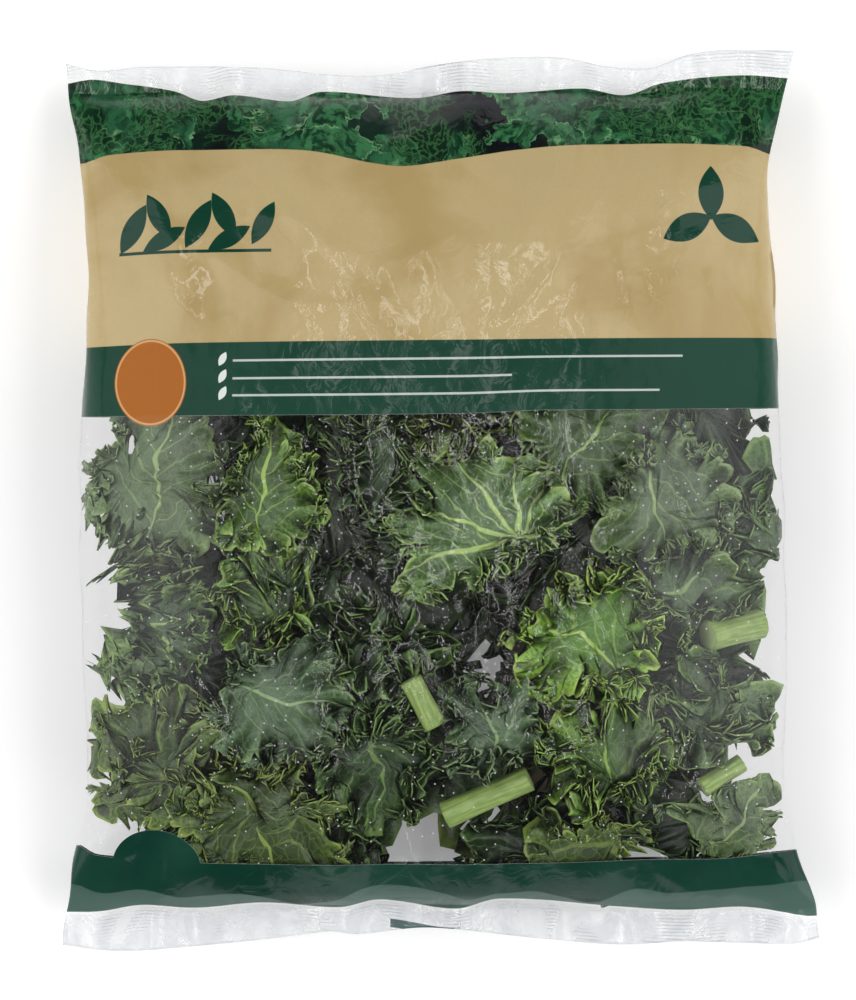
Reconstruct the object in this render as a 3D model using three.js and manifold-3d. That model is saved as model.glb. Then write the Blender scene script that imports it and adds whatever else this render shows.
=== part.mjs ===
// A sealed pillow bag of cut curly kale, lying on its back: one printed film tube, closed by
// two crimped end seals and a fin seal down its back, round a pile of cut leaf pieces and
// stem pieces.
// Millimetres. +X is the bag's right as its front is read, +Y its top end, +Z out of its front.
// The origin is on the surface that the bag lies on, under the middle of its outline.

import * as THREE from "three";
import { mergeVertices } from "three/addons/utils/BufferGeometryUtils.js";
import Module from "manifold-3d";

// The film bag
const HALF_LENGTH = 160.5;
const END_SEAL = 14; // crimped band at each end
const THICKNESS = 70; // of the filled belly
const FOLD_HEIGHT = 30; // of the side folds, above the surface
const BACK_DROP = 36; // how far the back would sink below the folds with no surface there
const SEAL_HEIGHT = 15; // of the end seals, above the surface
const WALL = 0.8;
const BELLY_HALF = HALF_LENGTH - END_SEAL;
const FILL_FLATNESS = 2.5; // how long the belly stays full
const FILL_SHOULDER = 0.8; // how steeply it falls to the seals
const SEAL_WAVE = 2.4; // height of the end seals' long waves
const SEAL_WAVE_PITCH = 163;
const SEAL_RIPPLE = 1.2; // and of their short ones
const SEAL_RIPPLE_PITCH = 60;
const PUCKER = 2.2; // height of the tucks by the end seals
const PUCKER_PITCH = 47;
const END_BLEND = 6; // how far in from a seal the line of its cut end is followed
const COLUMNS = 20;
const ROWS = [160.5, 146.5, 142, 136, 127, 115, 99, 80, 56, 28];
const FIN_WIDTH = 14;
const FIN_THICKNESS = 1.2;
const VENT_RADIUS = 1;
const VENT_DEPTH = 12;
const VENT_SPOTS = [[-62, 112], [62, 112], [-62, -112], [62, -112]]; // needle holes, in the back

// Outline, from the bag's flared ends to its waist: [along Y, X of that side]
const LEFT_SIDE = [
  [-160.5, -134.8], [-133, -132.4], [-111, -127.2], [-94, -126], [-60, -127], [0, -128.3],
  [60, -126.4], [100, -126.8], [125, -128.6], [141, -132.2], [160.5, -134.4],
];
const RIGHT_SIDE = [
  [-160.5, 134.8], [-146, 133], [-130, 127.6], [-108, 122.3], [-94, 120.8], [-60, 122.3],
  [0, 121.2], [60, 118], [100, 115.9], [118, 116.2], [141, 121.1], [160.5, 124.8],
];
// Cut ends of the film: [X, how far the end stands short of the full length]
const BOTTOM_END = [
  [-134.8, 2], [-118, 0], [-92, 1.4], [-63, 4.3], [-40, 7.2], [-30, 6.2], [-4, 8.4],
  [37, 4.2], [64, 2.3], [86, 3.6], [125, 2.8], [134.8, 5.2],
];
const TOP_END = [
  [-134.4, 4.7], [-123, 7.2], [-107, 6], [-66, 6.3], [-36, 9.2], [-18, 8.6], [-5, 5.8],
  [20, 2.9], [43, 2.5], [58, 5.6], [74, 6.5], [86, 2.2], [100, 0.2], [124.8, 0.4],
];

// The kale
const LAYERS = 5; // of leaf pieces, from the back film to the front film
const CLEAR = 2.2; // between the pile and the film
const LAYER_GAP = 2;
const LEAF = 1.1; // thickness of a leaf piece
const RIB = 1.5; // how much thicker it is along its rib
const PIECE_GAP = 1.3; // between pieces side by side
const LOBE = 0.1; // depth of a piece's lobes, as a share of its reach
const LENGTHENED = 0.12; // how much longer it is along its rib
const NOTCH = 0.09; // depth of its frill's notches
const FRILL = 0.62; // shares of the free height that it takes up: by its frilled rim,
const SWAY = 0.38; // by its bend,
const CUP = 0.3; // and by its hollow
const FINE_SECTORS = 26; // in a piece by the window
const COARSE_SECTORS = 16;
const THREE_RINGS = [0.36, 0.7, 1];
const TWO_RINGS = [0.6, 1];
const BROAD = 36; // reach from which a hidden piece takes a third ring
const PILE_WIDTH = 0.955; // share of the bag's width and length that the pile fills
const PILE_LENGTH = 0.93;
const RANDOM_SEED = 20711;

const COLOURS = {
  film: 0xe4e6e8,
  fresh: 0x5f7c38,
  dusky: 0x53664e,
  dark: 0x2b3f22,
  olive: 0x6d7a3c,
  stem: 0xa1b572,
};

// Leaf pieces that lie against the front film, below the printed panel:
// [X, Y, reach, angle of the rib, colour]
const FRONT_LEAVES = [
  [-101, 2, 33, 78, "dusky"],
  [-60, 7, 29, 82, "fresh"],
  [-24, 16, 25, 200, "dark"],
  [14, -13, 36, 96, "dusky"],
  [50, 19, 28, 55, "dark"],
  [81, 2, 28, 100, "dusky"],
  [108, -7, 21, 80, "dark"],
  [-64, -37, 23, 300, "fresh"],
  [-100, -47, 25, 120, "olive"],
  [-60, -69, 30, 350, "dusky"],
  [-22, -53, 25, 260, "dark"],
  [56, -51, 28, 150, "fresh"],
  [86, -30, 23, 30, "dusky"],
  [17, -83, 21, 95, "dusky"],
  [-99, -89, 26, 75, "olive"],
  [-63, -112, 31, 305, "olive"],
  [-22, -88, 27, 268, "dark"],
  [58, -92, 26, 100, "fresh"],
  [97, -73, 21, 240, "dusky"],
  [100, -110, 25, 60, "dusky"],
  [53, -121, 21, 170, "olive"],
  [4, 29, 20, 262, "olive"],
];
// Leaf pieces one layer deeper in the same window, which show between those
const SECOND_LEAVES = [
  [-82, 20, 33, 40, "dark"],
  [-36, -14, 33, 130, "dark"],
  [40, -24, 34, 10, "dark"],
  [96, 22, 30, 290, "dark"],
  [-84, -62, 33, 200, "dark"],
  [-26, -70, 33, 60, "dark"],
  [84, -58, 33, 330, "dusky"],
  [-86, -112, 28, 20, "dark"],
  [-36, -112, 26, 110, "dark"],
  [30, -121, 28, 240, "dark"],
  [88, -112, 28, 160, "dark"],
];
// Cut stems against the front film: [X, Y, length, radius, angle, how far the end rises]
const STEMS = [
  [16, -104.5, 33, 4.8, 24, 1],
  [103, -45.5, 20, 5.6, 12, 0],
  [-7, -71, 19, 4.2, 118, -1],
  [99, -97, 17, 3.6, 32, 0],
];
// Gaps right through the pile, which no leaf piece enters: [X, Y, radius]
const PILE_GAPS = [
  [-11, -121, 9], [19, -61, 6], [35, -98, 4], [-80, 8, 2.5], [-104, -69, 3],
];
// Leaf pieces strewn out of sight
const STREWN_HALF_WIDTH = 112;
const STREWN_SHIFT = 9;
const STREWN_STAGGER = 0.22; // of alternate rows, in steps across
const STREWN_REACH = 0.56; // as a share of the step between pieces
const STEM_TAPER = 0.92;
const STEM_CLEAR = 2.6; // between a stem and the leaf pieces round it
const STEM_LAYERS = [3, 4];

const clamp = (value, low, high) => Math.min(Math.max(value, low), high);
const mix = (a, b, share) => a + (b - a) * share;
const turn = THREE.MathUtils.degToRad;

/** A smooth line through [place, value] points, in rising order of place. */
function lineThrough(points) {
  const last = points.length - 1;
  const slopes = points.map((_, i) => {
    const before = points[Math.max(i - 1, 0)];
    const after = points[Math.min(i + 1, last)];
    return (after[1] - before[1]) / (after[0] - before[0]);
  });
  return (place) => {
    const at = clamp(place, points[0][0], points[last][0]);
    const next = clamp(points.findIndex((p) => p[0] > at), 1, last);
    const i = at >= points[last][0] ? last - 1 : next - 1;
    const span = points[i + 1][0] - points[i][0];
    const t = (at - points[i][0]) / span;
    const ease = t * t * (3 - 2 * t);
    const start = slopes[i] * span * t * (1 - t) * (1 - t);
    const end = slopes[i + 1] * span * t * t * (t - 1);
    return mix(points[i][1], points[i + 1][1], ease) + start + end;
  };
}

/** Numbers from 0 to 1 that come out the same each time. */
function seededRandom(seed) {
  let state = seed;
  return () => {
    state = (Math.imul(state, 1664525) + 1013904223) >>> 0;
    return state / 2 ** 32;
  };
}

const leftSide = lineThrough(LEFT_SIDE);
const rightSide = lineThrough(RIGHT_SIDE);
const bottomEnd = lineThrough(BOTTOM_END);
const topEnd = lineThrough(TOP_END);
const random = seededRandom(RANDOM_SEED);

/** Where a point lies in the bag: u from fold to fold and v from seal to seal, each -1 to 1. */
function place(x, y) {
  const left = leftSide(y);
  const right = rightSide(y);
  return {
    u: clamp((2 * x - left - right) / (right - left), -1, 1),
    v: clamp(y / BELLY_HALF, -1, 1),
  };
}

/** Heights of the film's front and back over a point, measured on its outside. */
function filmHeights(x, y) {
  const { u, v } = place(x, y);
  const round = Math.sqrt(1 - u * u);
  const full = Math.pow(1 - Math.pow(Math.abs(v), FILL_FLATNESS), FILL_SHOULDER);
  const wave = SEAL_WAVE * Math.sin((2 * Math.PI * x) / SEAL_WAVE_PITCH + 3 * v);
  const ripple = SEAL_RIPPLE * Math.sin((2 * Math.PI * x) / SEAL_RIPPLE_PITCH);
  const fold = mix(FOLD_HEIGHT, SEAL_HEIGHT + wave + ripple, v ** 4);
  const nearSeal = 4 * full * (1 - full);
  const tuck = PUCKER * nearSeal * round * Math.cos((2 * Math.PI * x) / PUCKER_PITCH + v);
  const rise = (THICKNESS - FOLD_HEIGHT - WALL) * full * round + tuck;
  const drop = BACK_DROP * full * round + tuck / 2;
  return {
    front: fold + WALL + Math.max(rise, 0),
    back: Math.max(0, fold - WALL - Math.max(drop, 0)),
  };
}

/** Room for the kale over a point, from the back film to the front film. */
function pileHeights(x, y) {
  const { front, back } = filmHeights(x, y);
  return { low: back + WALL + CLEAR, high: front - WALL - CLEAR };
}

/** A mesh geometry from corner positions and triangles. */
function surface(positions, triangles) {
  const geometry = new THREE.BufferGeometry();
  geometry.setAttribute("position", new THREE.Float32BufferAttribute(positions, 3));
  geometry.setIndex(triangles);
  return geometry;
}

/** A closed solid between two sheets of points laid out in the same rows and columns. */
function slab(upper, lower) {
  const rows = upper.length;
  const columns = upper[0].length;
  const positions = [...upper.flat(), ...lower.flat()].flat();
  const top = (j, i) => j * columns + i;
  const under = (j, i) => rows * columns + top(j, i);
  const triangles = [];
  for (let j = 0; j + 1 < rows; j++) {
    for (let i = 0; i + 1 < columns; i++) {
      triangles.push(top(j, i), top(j, i + 1), top(j + 1, i + 1));
      triangles.push(top(j, i), top(j + 1, i + 1), top(j + 1, i));
      triangles.push(under(j, i), under(j + 1, i + 1), under(j, i + 1));
      triangles.push(under(j, i), under(j + 1, i), under(j + 1, i + 1));
    }
  }
  const rim = [];
  for (let i = 0; i + 1 < columns; i++) rim.push([0, i]);
  for (let j = 0; j + 1 < rows; j++) rim.push([j, columns - 1]);
  for (let i = columns - 1; i > 0; i--) rim.push([rows - 1, i]);
  for (let j = rows - 1; j > 0; j--) rim.push([j, 0]);
  rim.forEach(([j, i], n) => {
    const [k, m] = rim[(n + 1) % rim.length];
    triangles.push(top(j, i), under(j, i), under(k, m));
    triangles.push(top(j, i), under(k, m), top(k, m));
  });
  return surface(positions, triangles);
}

const wasm = await Module();
wasm.setup();

/** A three.js geometry as a solid that can be joined and cut. */
function solidOf(geometry) {
  const bare = geometry.clone();
  bare.deleteAttribute("normal");
  bare.deleteAttribute("uv");
  const merged = mergeVertices(bare, 1e-4);
  return new wasm.Manifold(
    new wasm.Mesh({
      numProp: 3,
      vertProperties: merged.getAttribute("position").array,
      triVerts: new Uint32Array(merged.index.array),
    }),
  );
}

/** The geometry of a solid that was joined or cut. */
function geometryOf(solid) {
  const mesh = solid.getMesh();
  return surface(Array.from(mesh.vertProperties), Array.from(mesh.triVerts));
}

// The film bag: its outer form, less the inside, with the fin seal on its back and the vents

/** A row's own place along Y, bent near the bag's ends to the line that the film is cut to. */
function alongY(x, rowY) {
  const toEnd = clamp((Math.abs(rowY) - BELLY_HALF + END_BLEND) / (END_SEAL + END_BLEND), 0, 1);
  return rowY + toEnd * (rowY < 0 ? bottomEnd(x) : -topEnd(x));
}

/** One row of points across the bag, for a share of the width at each column. */
function filmRow(rowY, shares, height) {
  return shares.map((share) => {
    const x = mix(leftSide(rowY), rightSide(rowY), share);
    return [x, alongY(x, rowY), height(x, rowY)];
  });
}

/** The solid between the film's front and back surfaces, each taken in by a wall. */
function filmSolid(rows, shares, wall) {
  const front = rows.map((y) => filmRow(y, shares, (x, z) => filmHeights(x, z).front - wall));
  const back = rows.map((y) => filmRow(y, shares, (x, z) => filmHeights(x, z).back + wall));
  return solidOf(slab(front, back));
}

/** The fin seal, a double strip of film folded flat down the middle of the back. */
function finSolid(rows) {
  const sides = [-FIN_WIDTH / 2, FIN_WIDTH / 2];
  const strip = (height) =>
    rows.map((y) => sides.map((x) => [x, alongY(x, y), height(filmHeights(x, y).back)]));
  return solidOf(
    slab(
      strip((back) => back + WALL / 2),
      strip((back) => Math.max(0, back - FIN_THICKNESS)),
    ),
  );
}

/** The whole bag of film, hollow. */
function filmBag() {
  const rows = [...ROWS.map((y) => -y), 0, ...ROWS.slice().reverse()];
  const shares = Array.from({ length: COLUMNS + 1 }, (_, i) => (1 - Math.cos((Math.PI * i) / COLUMNS)) / 2);
  const outside = filmSolid(rows, shares, 0);
  const inside = filmSolid(rows.slice(2, -2), shares.slice(1, -1), WALL);
  const vents = VENT_SPOTS.map(([x, y]) => {
    const pin = new THREE.CylinderGeometry(VENT_RADIUS, VENT_RADIUS, VENT_DEPTH, 8).rotateX(Math.PI / 2);
    return solidOf(pin.translate(x, y, filmHeights(x, y).back));
  });
  const bag = outside.add(finSolid(rows)).subtract(inside);
  return geometryOf(vents.reduce((solid, vent) => solid.subtract(vent), bag));
}

// The cut stems

/** The highest that a round piece of this radius can lie over a point, inside the front film. */
function roomUnderFilm(x, y, radius) {
  const beside = [0, 1, 2, 3, 4, 5, 6, 7].map((eighth) => {
    const angle = (eighth * Math.PI) / 4;
    return pileHeights(x + radius * Math.cos(angle), y + radius * Math.sin(angle)).high - radius / 2;
  });
  return Math.min(pileHeights(x, y).high - radius, ...beside);
}

/** A stem piece just under the front film, cut square at both ends. */
function stemGeometry([x, y, length, radius, angle, rise]) {
  const along = new THREE.Vector3(Math.cos(turn(angle)), Math.sin(turn(angle)), 0);
  const ends = [-1, 1].map((side) => {
    const point = new THREE.Vector3(x, y, 0).addScaledVector(along, (side * length) / 2);
    point.z = roomUnderFilm(point.x, point.y, radius) - Math.max(-side * rise, 0);
    return point;
  });
  const lie = new THREE.Vector3().subVectors(ends[1], ends[0]);
  const stem = new THREE.CylinderGeometry(radius * STEM_TAPER, radius, lie.length(), 12, 1);
  stem.applyQuaternion(
    new THREE.Quaternion().setFromUnitVectors(new THREE.Vector3(0, 1, 0), lie.clone().normalize()),
  );
  const middle = new THREE.Vector3().addVectors(ends[0], ends[1]).multiplyScalar(0.5);
  return geometryOf(solidOf(stem.translate(middle.x, middle.y, middle.z)));
}

/** How far a point is from a stem's outline, seen from the front. */
function distanceToStem([x, y, length, radius, angle], px, py) {
  const [dx, dy] = [px - x, py - y];
  const along = Math.abs(dx * Math.cos(turn(angle)) + dy * Math.sin(turn(angle)));
  const across = Math.abs(dy * Math.cos(turn(angle)) - dx * Math.sin(turn(angle)));
  return Math.hypot(Math.max(along - length / 2, 0), Math.max(across - radius, 0));
}

// The leaf pieces

/** True where a leaf piece may not reach: past the pile, a neighbour's ground, or a stem. */
function taken(leaf, beside, px, py) {
  const { u, v } = place(px, py);
  if (Math.abs(u) > PILE_WIDTH || Math.abs(v) > PILE_LENGTH) return true;
  const { low, high } = pileHeights(px, py);
  const least = LEAF + LAYER_GAP + (STEM_LAYERS.includes(leaf.layer) ? 0 : RIB);
  if ((high - low) / LAYERS < least) return true;
  const power = (other) => (px - other.x) ** 2 + (py - other.y) ** 2 - other.reach ** 2;
  if (beside.some((other) => power(other) < power(leaf))) return true;
  if (PILE_GAPS.some(([x, y, radius]) => Math.hypot(px - x, py - y) < radius)) return true;
  return STEM_LAYERS.includes(leaf.layer) && STEMS.some((stem) => distanceToStem(stem, px, py) < STEM_CLEAR);
}

/** How far the leaf piece reaches in each direction: lobed, frilled, cut off near its base. */
function rimReach(leaf, beside, sectors) {
  const lobes = [3, 5, 7].map((count) => [count, 2 * Math.PI * random()]);
  const cutAt = leaf.reach * (0.6 + 0.2 * random());
  return Array.from({ length: sectors }, (_, s) => {
    const fromTip = (2 * Math.PI * s) / sectors;
    const angle = fromTip + turn(leaf.rib);
    const wave = lobes.reduce((sum, [count, phase]) => sum + LOBE * Math.cos(count * fromTip + phase), 0);
    const natural = leaf.reach * (1 + wave + LENGTHENED * Math.cos(2 * fromTip));
    const toCut = -Math.cos(fromTip);
    const wanted = toCut > 0.1 ? Math.min(natural, cutAt / toCut) : natural;
    let reach = 3;
    while (
      reach < wanted &&
      !taken(leaf, beside, leaf.x + (reach + 1) * Math.cos(angle), leaf.y + (reach + 1) * Math.sin(angle))
    )
      reach += 1;
    const frill = toCut > 0.8 ? 1 : 1 - NOTCH * (s % 2) * (0.5 + random());
    return (Math.min(reach, wanted) - PIECE_GAP / 2) * frill;
  });
}

/** A leaf piece: a thin sheet, frilled at its rim, with a thicker rib from its cut base. */
function leafGeometry(leaf, beside) {
  const rings = leaf.fine || leaf.reach > BROAD ? THREE_RINGS : TWO_RINGS;
  const sectors = leaf.fine ? FINE_SECTORS : COARSE_SECTORS;
  const reach = rimReach(leaf, beside, sectors);
  const bend = random() * Math.PI;
  const cup = random() - 0.5;
  const point = (ring, s) => {
    const share = ring < 0 ? 0 : rings[ring];
    const angle = (2 * Math.PI * s) / sectors + turn(leaf.rib);
    const x = leaf.x + share * reach[s] * Math.cos(angle);
    const y = leaf.y + share * reach[s] * Math.sin(angle);
    const onRib = s === 0 || s === sectors / 2 || ring < 0;
    const rib = onRib && share < 1 ? (RIB * (1 - share / 2)) / 2 : 0;
    const { low, high } = pileHeights(x, y);
    const room = Math.max((high - low) / LAYERS - LAYER_GAP - LEAF - 2 * rib, 0);
    const frill = FRILL * share ** 2 * (s % 2 ? 1 : -1);
    const sway = SWAY * share * Math.cos(2 * (angle - bend)) + CUP * cup * (1 - share);
    const middle = low + ((high - low) * (leaf.layer + 0.5)) / LAYERS + (room / 2) * (frill + sway);
    return { x, y, upper: middle + LEAF / 2 + rib, under: middle - LEAF / 2 - rib };
  };
  const points = [point(-1, 0)];
  rings.forEach((_, ring) => reach.forEach((_, s) => points.push(point(ring, s))));
  const corner = (ring, s) => 1 + ring * sectors + (s % sectors);
  const face = [];
  for (let s = 0; s < sectors; s++) {
    face.push([0, corner(0, s), corner(0, s + 1)]);
    for (let ring = 1; ring < rings.length; ring++) {
      face.push([corner(ring - 1, s), corner(ring, s), corner(ring, s + 1)]);
      face.push([corner(ring - 1, s), corner(ring, s + 1), corner(ring - 1, s + 1)]);
    }
  }
  const positions = [
    ...points.flatMap(({ x, y, upper }) => [x, y, upper]),
    ...points.flatMap(({ x, y, under }) => [x, y, under]),
  ];
  const count = points.length;
  const triangles = face.flatMap(([a, b, c]) => [a, b, c, a + count, c + count, b + count]);
  for (let s = 0; s < sectors; s++) {
    const [a, b] = [corner(rings.length - 1, s), corner(rings.length - 1, s + 1)];
    triangles.push(a, a + count, b + count, a, b + count, b);
  }
  return surface(positions, triangles);
}

/** Leaf pieces strewn over part of a layer, in staggered rows with a random shift. */
function strewn(layer, fromY, toY, columns, rows, colours) {
  const stepX = (2 * STREWN_HALF_WIDTH) / columns;
  const stepY = (toY - fromY) / rows;
  const shift = () => STREWN_SHIFT * (random() - 0.5);
  return Array.from({ length: rows * columns }, (_, n) => {
    const row = Math.floor(n / columns);
    const stagger = STREWN_STAGGER * ((row % 2) - 0.5);
    return {
      x: ((n % columns) + 0.5 + stagger) * stepX - STREWN_HALF_WIDTH + shift(),
      y: fromY + (row + 0.5) * stepY + shift(),
      reach: STREWN_REACH * Math.max(stepX, stepY) * (0.95 + 0.15 * random()),
      rib: Math.floor(360 * random()),
      layer,
      fine: false,
      colour: colours[Math.floor(colours.length * random())],
    };
  });
}

/** The leaf pieces of a list, all in one layer. */
const listed = (leaves, layer, fine) =>
  leaves.map(([x, y, reach, rib, colour]) => ({ x, y, reach, rib, colour, layer, fine }));

const bag = new THREE.Group();

/** Adds one named piece with its own material. */
function addPiece(name, geometry, colour, finish) {
  const material = new THREE.MeshStandardMaterial({ color: colour, metalness: 0, ...finish });
  const piece = new THREE.Mesh(geometry, material);
  piece.name = name;
  bag.add(piece);
}

addPiece("film_bag", filmBag(), COLOURS.film, { roughness: 0.2, transparent: true, opacity: 0.3 });

STEMS.forEach((stem, i) => {
  addPiece(`cut_stem_${i + 1}`, stemGeometry(stem), COLOURS.stem, { roughness: 0.45 });
});

const leaves = [
  ...listed(FRONT_LEAVES, 4, true),
  ...strewn(4, 42, 134, 3, 1, ["dusky", "dark"]),
  ...listed(SECOND_LEAVES, 3, false),
  ...strewn(3, 42, 134, 3, 1, ["dark", "fresh"]),
  ...strewn(2, -134, 134, 2, 3, ["dark"]),
  ...strewn(1, -130, 134, 3, 2, ["dark"]),
  ...strewn(0, -126, 128, 2, 2, ["dusky", "olive"]),
];
leaves.forEach((leaf, i) => {
  const beside = leaves.filter((other) => other !== leaf && other.layer === leaf.layer);
  const name = `kale_leaf_${String(i + 1).padStart(2, "0")}`;
  addPiece(name, leafGeometry(leaf, beside), COLOURS[leaf.colour], { roughness: 0.55 });
});

export default bag;
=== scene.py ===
"""Looks of a sealed film bag of cut curly kale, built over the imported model.

Lengths are metres in the model's frame: +X right and +Y up as the bag's front is read, +Z out
of its front. The bag lies on its back on the floor.
"""

import logging
import math
from dataclasses import dataclass
from enum import Enum
from typing import Callable, Optional, Sequence

import bmesh
import bpy
import numpy as np
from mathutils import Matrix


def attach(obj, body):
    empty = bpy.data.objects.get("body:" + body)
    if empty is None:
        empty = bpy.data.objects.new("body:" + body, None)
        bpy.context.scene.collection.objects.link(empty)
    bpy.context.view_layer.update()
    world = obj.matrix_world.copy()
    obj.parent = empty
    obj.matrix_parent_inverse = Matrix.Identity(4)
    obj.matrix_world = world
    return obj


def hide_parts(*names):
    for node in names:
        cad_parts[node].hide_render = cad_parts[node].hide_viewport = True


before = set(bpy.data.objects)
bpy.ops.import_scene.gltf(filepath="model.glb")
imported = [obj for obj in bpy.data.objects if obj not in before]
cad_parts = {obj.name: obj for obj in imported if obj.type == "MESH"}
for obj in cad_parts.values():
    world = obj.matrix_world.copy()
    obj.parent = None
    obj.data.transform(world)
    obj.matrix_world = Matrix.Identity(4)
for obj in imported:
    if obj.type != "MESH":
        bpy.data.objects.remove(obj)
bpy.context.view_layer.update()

MM = 0.001
TAU = 2 * math.pi
BODY = "root"
STEMS = 4
LOG = logging.getLogger("bag")

Colour = tuple[float, float, float, float]
Socket = bpy.types.NodeSocket
Points = Sequence[tuple[float, float]]
VALUE, COLOUR, VECTOR = "NodeSocketFloat", "NodeSocketColor", "NodeSocketVector"


# Small tools


def ink(red: float, green: float, blue: float) -> Colour:
    """A display colour, 0 to 255 a channel, as the linear colour that shaders take."""
    linear = [
        c / 12.92 if c <= 0.04045 else ((c + 0.055) / 1.055) ** 2.4
        for c in (red / 255, green / 255, blue / 255)
    ]
    return (*linear, 1.0)


def line_through(points: Points) -> Callable[[np.ndarray], np.ndarray]:
    """A smooth line through points.

    Args:
        points: (place, value) pairs in millimetres, in rising order of place.

    Returns:
        A function from places in metres to values in metres.
    """
    places = np.array([p[0] for p in points]) * MM
    values = np.array([p[1] for p in points]) * MM
    before = np.clip(np.arange(len(points)) - 1, 0, None)
    after = np.clip(np.arange(len(points)) + 1, None, len(points) - 1)
    slopes = (values[after] - values[before]) / (places[after] - places[before])

    def line(place: np.ndarray) -> np.ndarray:
        """Value of the line at each place."""
        at = np.clip(place, places[0], places[-1])
        i = np.clip(np.searchsorted(places, at, side="right") - 1, 0, len(points) - 2)
        span = places[i + 1] - places[i]
        t = (at - places[i]) / span
        ease = t * t * (3 - 2 * t)
        start = slopes[i] * span * t * (1 - t) ** 2
        end = slopes[i + 1] * span * t * t * (t - 1)
        return values[i] + (values[i + 1] - values[i]) * ease + start + end

    return line


def smooth_step(value: np.ndarray, low: float, high: float) -> np.ndarray:
    """0 below low, 1 above high, and an even rise between them."""
    t = np.clip((value - low) / (high - low), 0, 1)
    return t * t * (3 - 2 * t)


def swell(x: np.ndarray, y: np.ndarray, wavelength: float, seed: int) -> np.ndarray:
    """A soft random field over a plane, about -1 to 1.

    Args:
        x: Places across.
        y: Places along.
        wavelength: Typical distance between its crests.
        seed: Picks the field.

    Returns:
        The field's value at each place.
    """
    draw = np.random.default_rng(seed)
    waves = 14
    total = np.zeros(np.broadcast(x, y).shape)
    for _ in range(waves):
        angle = draw.uniform(0, TAU)
        pitch = wavelength * draw.uniform(0.7, 1.5)
        total += np.cos(TAU * (x * math.cos(angle) + y * math.sin(angle)) / pitch + draw.uniform(0, TAU))
    return total / math.sqrt(waves)


def round_trip(rays: np.ndarray, turn: np.ndarray) -> np.ndarray:
    """Values between rays that go once round a piece, smoothly joined.

    Args:
        rays: One value for each ray.
        turn: Places round the piece, 0 to 1.

    Returns:
        The values at those places.
    """
    count = len(rays)
    at = (turn % 1.0) * count
    i = np.floor(at).astype(int)
    t = at - i
    p0, p1, p2, p3 = (rays[(i + k) % count] for k in (-1, 0, 1, 2))
    return p1 + 0.5 * t * (p2 - p0 + t * (2 * p0 - 5 * p1 + 4 * p2 - p3 + t * (3 * (p1 - p2) + p3 - p0)))


def wander(turn: np.ndarray, draw: np.random.Generator, harmonics: int = 7) -> np.ndarray:
    """A random line, about -1 to 1, that meets itself after one turn.

    Args:
        turn: Places round the turn, 0 to 1.
        draw: Random numbers.
        harmonics: How many waves it is made of.

    Returns:
        The line's value at each place.
    """
    total = np.zeros_like(turn)
    for k in range(1, harmonics + 1):
        total += draw.normal() * np.cos(TAU * (k * turn + draw.uniform())) / math.sqrt(k)
    return total / 1.8


def columns(*parts: np.ndarray) -> np.ndarray:
    """Arrays put side by side as the columns of one."""
    return np.stack(parts, axis=1)


def sheet_mesh(name: str, across: int, along: int, place: Callable) -> bpy.types.Mesh:
    """A mesh of one sheet of cells, laid out by a function of its own two directions.

    Args:
        name: Name of the mesh.
        across: Cells in the first direction.
        along: Cells in the second direction.
        place: Takes arrays s and t, 0 to 1, and gives an array of X, Y, Z rows and a dictionary of
            UV map names with arrays of u, v rows.

    Returns:
        The mesh, with its UV maps.
    """
    grid = bmesh.new()
    bmesh.ops.create_grid(grid, x_segments=across, y_segments=along, size=1.0)
    mesh = bpy.data.meshes.new(name)
    grid.to_mesh(mesh)
    grid.free()
    flat = np.empty(len(mesh.vertices) * 3)
    mesh.vertices.foreach_get("co", flat)
    s, t = ((flat.reshape(-1, 3)[:, k] + 1) / 2 for k in (0, 1))
    corner = np.empty(len(mesh.loops), dtype=np.int32)
    mesh.loops.foreach_get("vertex_index", corner)
    spots, maps = place(s, t)
    for title, values in maps.items():
        layer = mesh.uv_layers.new(name=title)
        layer.data.foreach_set("uv", values[corner].astype(np.float32).ravel())
    mesh.vertices.foreach_set("co", spots.astype(np.float32).ravel())
    mesh.update()
    return mesh


def joined(name: str, sheets: Sequence[bpy.types.Mesh], reach: float = 1e-6) -> bpy.types.Mesh:
    """Sheets put together in one mesh, with the doubled points of their seams and poles merged.

    Args:
        name: Name of the new mesh.
        sheets: The meshes, which are used up.
        reach: Distance up to which points are merged.

    Returns:
        The new mesh.
    """
    work = bmesh.new()
    for sheet in sheets:
        part = bmesh.new()
        part.from_mesh(sheet)
        bmesh.ops.remove_doubles(part, verts=part.verts, dist=reach)
        bmesh.ops.dissolve_degenerate(part, edges=part.edges, dist=reach)
        part.to_mesh(sheet)
        part.free()
        work.from_mesh(sheet)
        bpy.data.meshes.remove(sheet)
    mesh = bpy.data.meshes.new(name)
    work.to_mesh(mesh)
    work.free()
    return mesh


def add_piece(
    mesh: bpy.types.Mesh, materials: Sequence[bpy.types.Material], node: Optional[str] = None
) -> bpy.types.Object:
    """Puts a mesh in the scene as a piece of the object.

    Args:
        mesh: The piece's mesh, whose name the piece takes.
        materials: The piece's materials, in the order of its faces' indices.
        node: The node of the frame that the piece stands for, if it stands for one.

    Returns:
        The new object.
    """
    piece = bpy.data.objects.new(mesh.name, mesh)
    bpy.context.scene.collection.objects.link(piece)
    for material in materials:
        mesh.materials.append(material)
    mesh.polygons.foreach_set("use_smooth", [True] * len(mesh.polygons))
    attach(piece, BODY)
    if node:
        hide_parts(node)
    LOG.info("%s: %d faces", piece.name, len(mesh.polygons))
    return piece


def give_wall(piece: bpy.types.Object, thickness: float) -> None:
    """Gives a sheet its thickness, half on each side."""
    wall = piece.modifiers.new("wall", "SOLIDIFY")
    wall.thickness = thickness
    wall.offset = 0.0


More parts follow.
